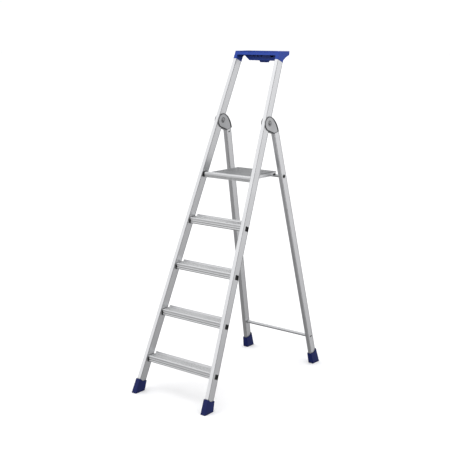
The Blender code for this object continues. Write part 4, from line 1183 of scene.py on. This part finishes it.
def softened(outline, reach):
    """An outline with each corner replaced by a curve that starts reach away from it."""
    points = []
    for i, corner in enumerate(outline):
        here = Vector(corner)
        arms = [Vector(outline[(i + step) % len(outline)]) - here for step in (-1, 1)]
        start, end = (here + arm.normalized() * reach for arm in arms)
        for share in (0.0, 0.25, 0.5, 0.75, 1.0):
            points.append(tuple(start * (1 - share) ** 2 + here * 2 * share * (1 - share) + end * share**2))
    return points


def slab_outline(inset):
    """Side outline of the tray's frame, from the front band to the rear edge."""
    low, high = BAND_LOW + inset, TRAY_TOP - inset
    rear = TRAY_REAR_Y - inset
    front = [(tray_front_y(z, inset), z) for z in (low, high)]
    return softened(front + [(rear, high), (rear - 0.003, low)], TRAY_ROUND)


def add_tray():
    loops = []
    stations = ((-1, 0.0, TRAY_ROUND), (-1, TRAY_ROUND, 0.0), (1, TRAY_ROUND, 0.0), (1, 0.0, TRAY_ROUND))
    for side, inwards, inset in stations:
        loops.append([(side * (tray_outer_x(y, z) - inwards), y, z) for y, z in slab_outline(inset)])
    tray = add_piece("tool_tray", loft(loops))
    add_tray_posts(tray)
    join(tray, tapered_bin(0.0, BAND_LOW + 0.002, BIN_FLOOR))
    add_tray_hook(tray)
    cut_tray_inside(tray)
    cut_tray_front(tray)
    place(tray, "tool_tray", angle=35)


def add_tray_posts(tray):
    """A post on each stile's top, with a plug inside the stile and a curved gusset to the rear edge."""
    top, bottom = TRAY_TOP - 0.001, STILE_TOP + GAP
    inside = WALL + GAP + 0.0004
    plug = rounded_rectangle((inside - STILE_WIDTH, inside), (-inside, STILE_DEPTH - inside), 0.001)
    for side in SIDES.values():
        rail = stile_rail(side)
        outline = rounded_rectangle((-STILE_WIDTH, 0.0001), (-0.0001, STILE_DEPTH), TRAY_ROUND, 3)
        low = [rail.at(u, t, bottom) for u, t in outline]
        high = [rail.at(u, t, rail.along_to_height(t, top)) for u, t in outline]
        join(tray, loft([low, high]))
        join(tray, on_rail(rail, plug, (bottom - 0.032, bottom + 0.004)))
        near = rail.at(0, STILE_DEPTH - 0.001, bottom + 0.012)
        far_y = TRAY_REAR_Y - 0.004
        high_z = BAND_LOW + 0.003
        curve = []
        for i in range(7):
            share = i / 6
            rise = (high_z - 0.004 - near.z) * share + 0.0035 * math.sin(math.pi * share)
            curve.append((near.y + (far_y - near.y) * share, near.z + rise))
        gusset = curve + [(far_y, high_z), (near.y, high_z)]
        loops = [[(side * (tray_outer_x(y, z) - x), y, z) for y, z in gusset] for x in (0.0002, 0.005)]
        join(tray, loft(loops))


def add_tray_hook(tray):
    """A two-pronged hook under the bin, for a bucket or a bag."""
    middle = (BIN_FRONT_Y + TRAY_REAR_Y) / 2
    low, high = BIN_FLOOR - 0.010, BIN_FLOOR + 0.001
    outline = [(-0.029, high), (-0.022, low), (-0.004, low), (-0.004, low + 0.004)]
    outline += [(0.004, low + 0.004), (0.004, low), (0.022, low), (0.029, high)]
    join(tray, along_depth(outline, middle - 0.009, middle + 0.009))


def cut_tray_inside(tray):
    """Opens the shallow front ledge and the deep bin behind it, and leaves ribs in the ledge."""
    floor, above = BAND_LOW + 0.004, TRAY_TOP + 0.01
    ledge = [(tray_front_y(floor, 0.003), floor), (tray_front_y(above, 0.003), above)]
    ledge += [(BIN_FRONT_Y + 0.005, above), (BIN_FRONT_Y + 0.005, floor)]
    for i in range(RIB_BAYS):
        width = 2 * RECESS_HALF / RIB_BAYS
        start = -RECESS_HALF + width * i
        cut(tray, across(ledge, start, start + width - RIB_WALL * (i < RIB_BAYS - 1)))
    lowered = [(tray_front_y(floor, 0.003), TRAY_TOP - 0.006), (tray_front_y(above, 0.003), above)]
    lowered += [(BIN_FRONT_Y + 0.005, above), (BIN_FRONT_Y + 0.005, TRAY_TOP - 0.006)]
    cut(tray, across(lowered, -RECESS_HALF, RECESS_HALF))
    cut(tray, tapered_bin(0.003, BAND_LOW, BIN_FLOOR + 0.003))
    half, back = BIN_TOP_HALF - 0.003, TRAY_REAR_Y - 0.005
    cut(tray, block((-half, BIN_FRONT_Y + 0.003, BAND_LOW - 0.0005), (half, back, above)))


def cut_tray_front(tray):
    """Three round sockets and a slot in a holder behind the bin's front wall, and a line along the band."""
    holder_low = (-0.062, BIN_FRONT_Y + 0.001, BAND_LOW - 0.0135)
    join(tray, block(holder_low, (0.100, BIN_FRONT_Y + HOLDER_DEPTH, BAND_LOW - 0.0010)))
    y_low, y_high = BIN_FRONT_Y - 0.004, BIN_FRONT_Y + HOLDER_DEPTH - 0.0015
    outlines = [circle((x, BAND_LOW - 0.0058), HOLE_RADIUS, 28) for x in (-0.050, -0.025, 0.0)]
    outlines.append(rounded_rectangle((0.057, BAND_LOW - 0.0112), (0.078, BAND_LOW - 0.0012), 0.0015))
    for outline in outlines:
        cut(tray, along_depth(outline, y_low, y_high))
    low, high = TRAY_TOP - 0.0042, TRAY_TOP - 0.0028
    corners = ((-0.002, low), (0.0007, low), (0.0007, high), (-0.002, high))
    cut(tray, across([(tray_front_y(z, t), z) for t, z in corners], -0.2, 0.2))


def add_tray_screw(name, side):
    """A screw through the stile's back wall with a domed head and a cross recess."""
    node = "tray_screw_" + name
    rail = stile_rail(side)
    middle, seat = -STILE_WIDTH / 2, STILE_DEPTH + GAP
    stations = ((0.040, 0.0012), (0.0415, 0.0021), (seat, 0.0021), (seat, 0.0040), (seat + 0.0008, 0.0040))
    stations += ((seat + 0.0015, 0.0034), (seat + 0.0019, 0.0022), (seat + 0.0020, 0.0008))
    loops = []
    for t, radius in stations:
        loops.append([rail.at(middle + u, t, SCREW_ALONG + v) for u, v in circle((0.0, 0.0), radius, 28)])
    screw = add_piece(node, loft(loops))
    for half_u, half_s in ((0.0004, 0.0020), (0.0020, 0.0004)):
        outline = rectangle((middle - half_u, seat + 0.0009), (middle + half_u, seat + 0.003))
        cut(screw, on_rail(rail, outline, (SCREW_ALONG - half_s, SCREW_ALONG + half_s)))
    place(screw, node)


# ---- Start ----

add_camera()
add_stage()
for name, side in SIDES.items():
    add_stile(name, side)
    add_rear_leg(name, side)
for number in range(TREAD_COUNT):
    add_tread(number)
    for name, side in SIDES.items():
        add_tread_bracket(number, name, side)
add_nosing()
add_deck()
for name, side in SIDES.items():
    add_deck_flange(name, side)
    add_front_foot(name, side)
    add_rear_foot(name, side)
    add_hinge_housing(name, side)
    add_hinge_pin(name, side)
    add_housing_lug(name, side)
    add_bearing(name, side)
    add_hook(name)
    add_tray_screw(name, side)
add_cross_tubes()
add_tray()

for node, solid in frame["nodes"].items():
    if not solid.hide_render:
        solid.data.materials.clear()
        solid.data.materials.append(MATERIALS.get(SLOT_OF[node]) or MATERIALS["tube"])
        solid.data.shade_smooth()
        solid.data.set_sharp_from_angle(angle=math.radians(35))
